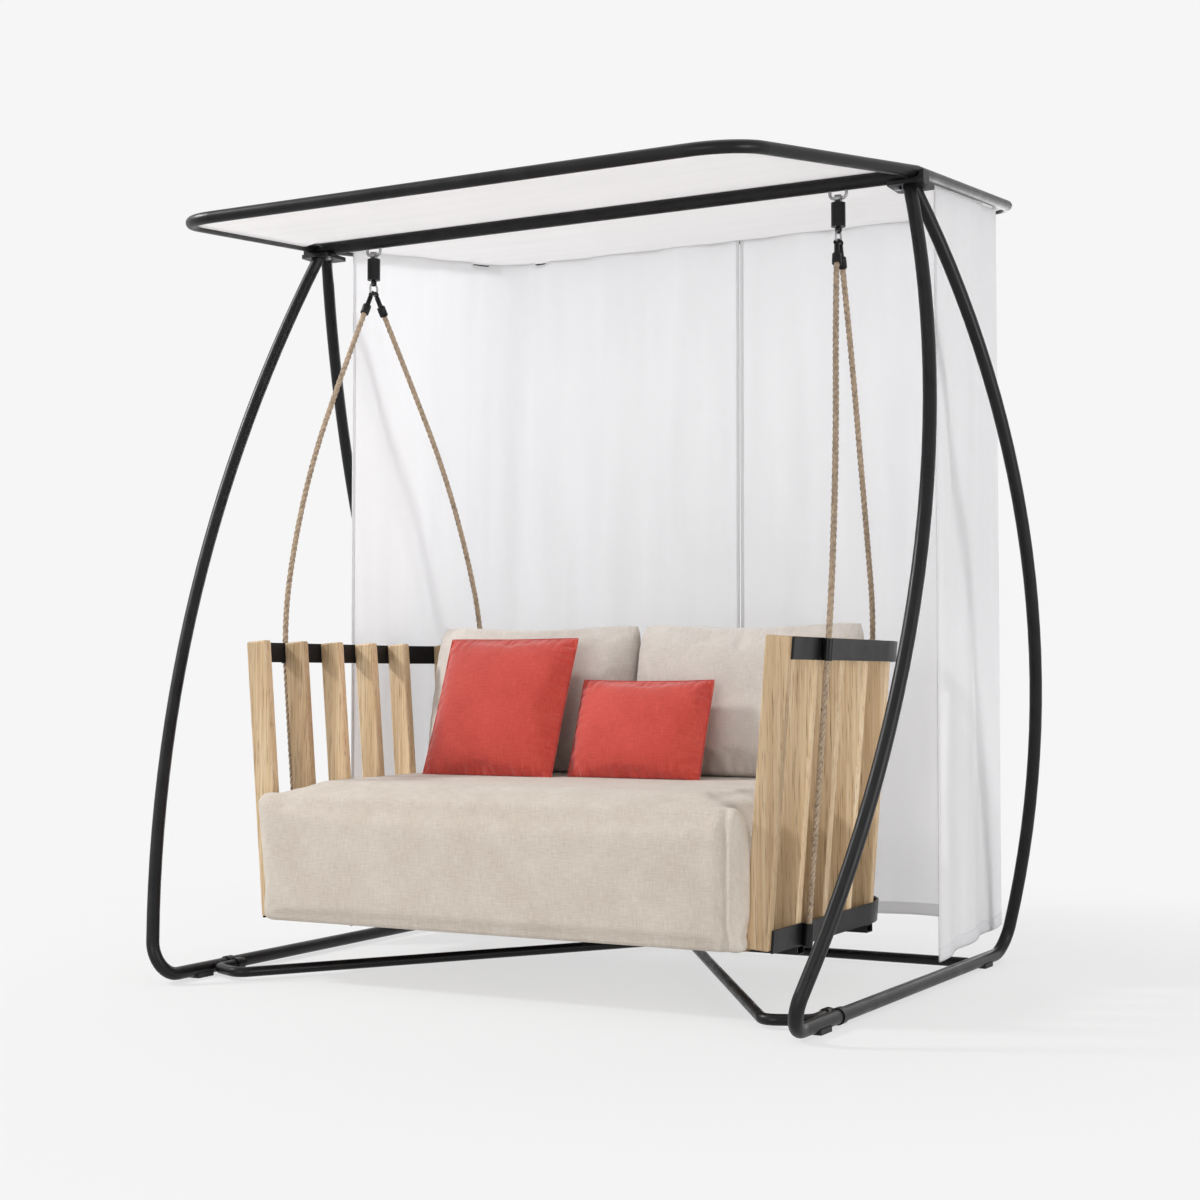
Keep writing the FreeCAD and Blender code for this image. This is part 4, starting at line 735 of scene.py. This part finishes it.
def cushion(name, size, shift, lean, finish, steps, draw, corner, fullness, caps, pucker):
    """A stuffed cushion where the frame's solid lies, flat where it rests, and the points along its seam.
    Shift moves it back and up, caps are the most it swells at the seam and inside, and pucker is the
    creases' depth, reach and spacing."""
    low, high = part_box(name)
    middle = (Vector(low) + Vector(high)) / 2 + Vector((0, *shift))
    place = Matrix.Translation(middle) @ Matrix.Rotation(-math.radians(lean), 4, "X")
    half = [part / 2 for part in size]
    thin = (half[0], half[1] * START_THIN, half[2])
    verts, faces, spots, edge = pillow(thin, steps, draw, corner, fullness)
    made = build(name + "_cover", verts, faces, finish, spots, place)
    from_edge = [min(half[0] - abs(s), half[2] - abs(t)) for s, t in spots]
    swells = [caps[0] + (caps[1] - caps[0]) * min(1, inward / CAP_EASE) for inward in from_edge]
    stuff(made, pressure=5, caps=swells, frames=18, stiffness=25)
    settle(made, [-part for part in half], half)
    # Puckers: short creases that run in from the seam, where the cloth is gathered by it. Each edge reads
    # its own stretch of the noise, so that no two crease alike.
    deep, reach, apart = pucker
    for vertex, (s, t), inward in zip(made.data.vertices, spots, from_edge):
        beside = s if half[2] - abs(t) < half[0] - abs(s) else t + math.copysign(EDGES_APART, s)
        beside += math.copysign(FACES_APART, t)
        rise = noise.noise((beside / apart, vertex.co.y * CREASE_THROUGH, len(name)))
        spread = noise.noise((beside / (3 * apart), CREASE_SLICE, len(name)))
        long = reach * (CREASE_SHORT + CREASE_VARIES * spread ** 2)
        crease = max(0, 1 - abs(rise) / CREASE_WIDE) * math.exp(-(inward / long) ** 2)
        vertex.co.y -= math.copysign(deep * crease * min(1, inward / CREASE_EASE), vertex.co.y)
        spot = place @ vertex.co
        vertex.co = place.inverted() @ Vector((spot.x, spot.y, max(spot.z, low[2])))
    refine(made)
    return made, [made.data.vertices[k].co.copy() for k in edge]


for side_name, _ in SIDES:
    name = side_name + "_back_cushion"
    back, _ = cushion(name, (0.654, 0.165, 0.426), shift=(0, -0.006), lean=12, finish=back_linen,
                      steps=(96, 60), draw=(0.001, 0.020), corner=0.014, fullness=0.27,
                      caps=(0.006, 0.020), pucker=(0.004, 0.05, 0.05))
    fix(back, "seat", [name])

# Scatter cushions: a square one and a low one in red linen, two faces sewn round a knife edge and
# filled with fibre, so the cloth puckers along the seams. They lean on the back cushions.
red_linen = linen("red_linen", "#a6342c", "#c34238", "#d05345")
WELT_R, WELT_SIDES = 0.0016, 6
for name, size, lean, steps, fill in (("square_cushion", (0.404, 0.152, 0.412), 22, (84, 84), 0.6),
                                      ("lumbar_cushion", (0.388, 0.140, 0.287), 20, (80, 58), 0.65)):
    scatter, edge = cushion(name, size, shift=(-0.012, -0.009), lean=lean, finish=red_linen, steps=steps,
                            draw=(0.003, 0.003), corner=0.003, fullness=0.6, caps=(0.006, 0.012),
                            pucker=(0.009, 0.05, 0.03))
    fix(scatter, "seat", [name])
    # The seam's turned edge: a thin welt all round.
    verts, faces, count = [], [], len(edge)
    for k, spot in enumerate(edge):
        ahead = (edge[(k + 1) % count] - edge[k - 1]).normalized()
        across = Vector((0, 1, 0))
        out = ahead.cross(across).normalized()
        verts += [spot + (out * c + across * s) * WELT_R for c, s in circle(WELT_SIDES)]
        ring, after = k * WELT_SIDES, (k + 1) % count * WELT_SIDES
        faces += [(ring + n, after + n, after + (n + 1) % WELT_SIDES, ring + (n + 1) % WELT_SIDES)
                  for n in range(WELT_SIDES)]
    welt = build(name + "_welt", verts, faces, red_linen, [(v.x, v.z) for v in verts], scatter.matrix_world)
    fix(welt, "seat")

# Studio: a pale floor that keeps a soft shadow, a white surround, one firm lamp from the left
# and broad soft ones all round, and the camera where the picture was taken from.
BACKGROUND, FLOOR = "#f6f6f6", 30
floor_mesh = bpy.data.meshes.new("floor")
floor_mesh.from_pydata([(-FLOOR, -FLOOR, 0), (FLOOR, -FLOOR, 0), (FLOOR, FLOOR, 0), (-FLOOR, FLOOR, 0)], [],
                       [(0, 1, 2, 3)])
floor = bpy.data.objects.new("floor", floor_mesh)
scene.collection.objects.link(floor)


def seen_directly(tree):
    """1 for what the camera, a reflection or glass looks at, and 0 for what only gives light."""
    sight = add(tree, "LightPath")
    seen = sight.outputs["Is Camera Ray"]
    for ray in ("Is Glossy Ray", "Is Transmission Ray"):
        seen = add(tree, "Math", {0: seen, 1: sight.outputs[ray]}, operation="MAXIMUM").outputs[0]
    return seen


# Studio paper: even and matt. Looked at directly it is mostly its own pale tone, so that only a soft
# shadow shows near the object, which fades out further off.
SHADOW_NEAR, SHADOW_FAR, SHADOW_SHARE = 1.4, 2.8, 0.3
paper, tree, shader = new_finish("studio_paper")
floor_mesh.materials.append(paper)
plug(tree, shader, {"Base Color": linear("#dcdcdc"), "Roughness": 1})
where = add(tree, "TexCoord").outputs["Object"]
far = add(tree, "VectorMath", {0: where}, operation="LENGTH")
near = add(tree, "MapRange", {"Value": far.outputs["Value"], "From Min": SHADOW_NEAR, "From Max": SHADOW_FAR,
                              "To Min": SHADOW_SHARE, "To Max": 0.0})
glow = add(tree, "Emission", {"Color": linear(BACKGROUND), "Strength": 1.0})
own = add(tree, "MixShader", {0: near.outputs["Result"], 1: glow.outputs[0], 2: shader.outputs[0]})
mixed = add(tree, "MixShader", {0: seen_directly(tree), 1: shader.outputs[0], 2: own.outputs[0]})
plug(tree, tree.nodes["Material Output"], {"Surface": mixed.outputs[0]})

world = bpy.data.worlds.new("studio")
scene.world = world
world.use_nodes = True
tree = world.node_tree
backdrop = add(tree, "Background", {"Color": linear(BACKGROUND), "Strength": 1.0})
ambient = add(tree, "Background", {"Color": (1, 1, 1, 1), "Strength": 0.46})
mixed = add(tree, "MixShader", {0: seen_directly(tree), 1: ambient.outputs[0], 2: backdrop.outputs[0]})
plug(tree, tree.nodes["World Output"], {"Surface": mixed.outputs[0]})

# Lamps: where each stands, what it is aimed at, how wide it is in metres, and its watts.
for lamp_name, place, aim, size, power in (
        ("key_lamp", (-5.1, -2.5, 4.8), (0, 0, 0.8), 1.0, 315),
        ("front_lamp", (0.8, -6.4, 0.9), (0, 0, 0.9), 3.0, 108),
        ("fill_lamp", (5.8, -1.4, 1.0), (0.7, 0, 0.7), 1.8, 105),
        ("top_lamp", (0.0, -0.2, 5.6), (0, 0, 1.0), 3.0, 40),
        ("rear_lamp", (-0.2, 5.6, 1.3), (-0.2, 0.4, 1.1), 3.5, 125)):
    data = bpy.data.lights.new(lamp_name, "AREA")
    data.size, data.energy = size, power
    lamp = bpy.data.objects.new(lamp_name, data)
    lamp.location = place
    lamp.rotation_euler = (Vector(aim) - Vector(place)).to_track_quat("-Z", "Y").to_euler()
    scene.collection.objects.link(lamp)

# The camera, worked out from the stand's straight tubes and from pairs of points left and right.
lens = bpy.data.cameras.new("camera")
lens.lens, lens.sensor_width = 59.12, 36
camera = bpy.data.objects.new("camera", lens)
camera.location = (2.4808, -4.6692, 0.7709)
camera.rotation_euler = (math.radians(92.26), 0, math.radians(28.30))
scene.collection.objects.link(camera)
scene.camera = camera
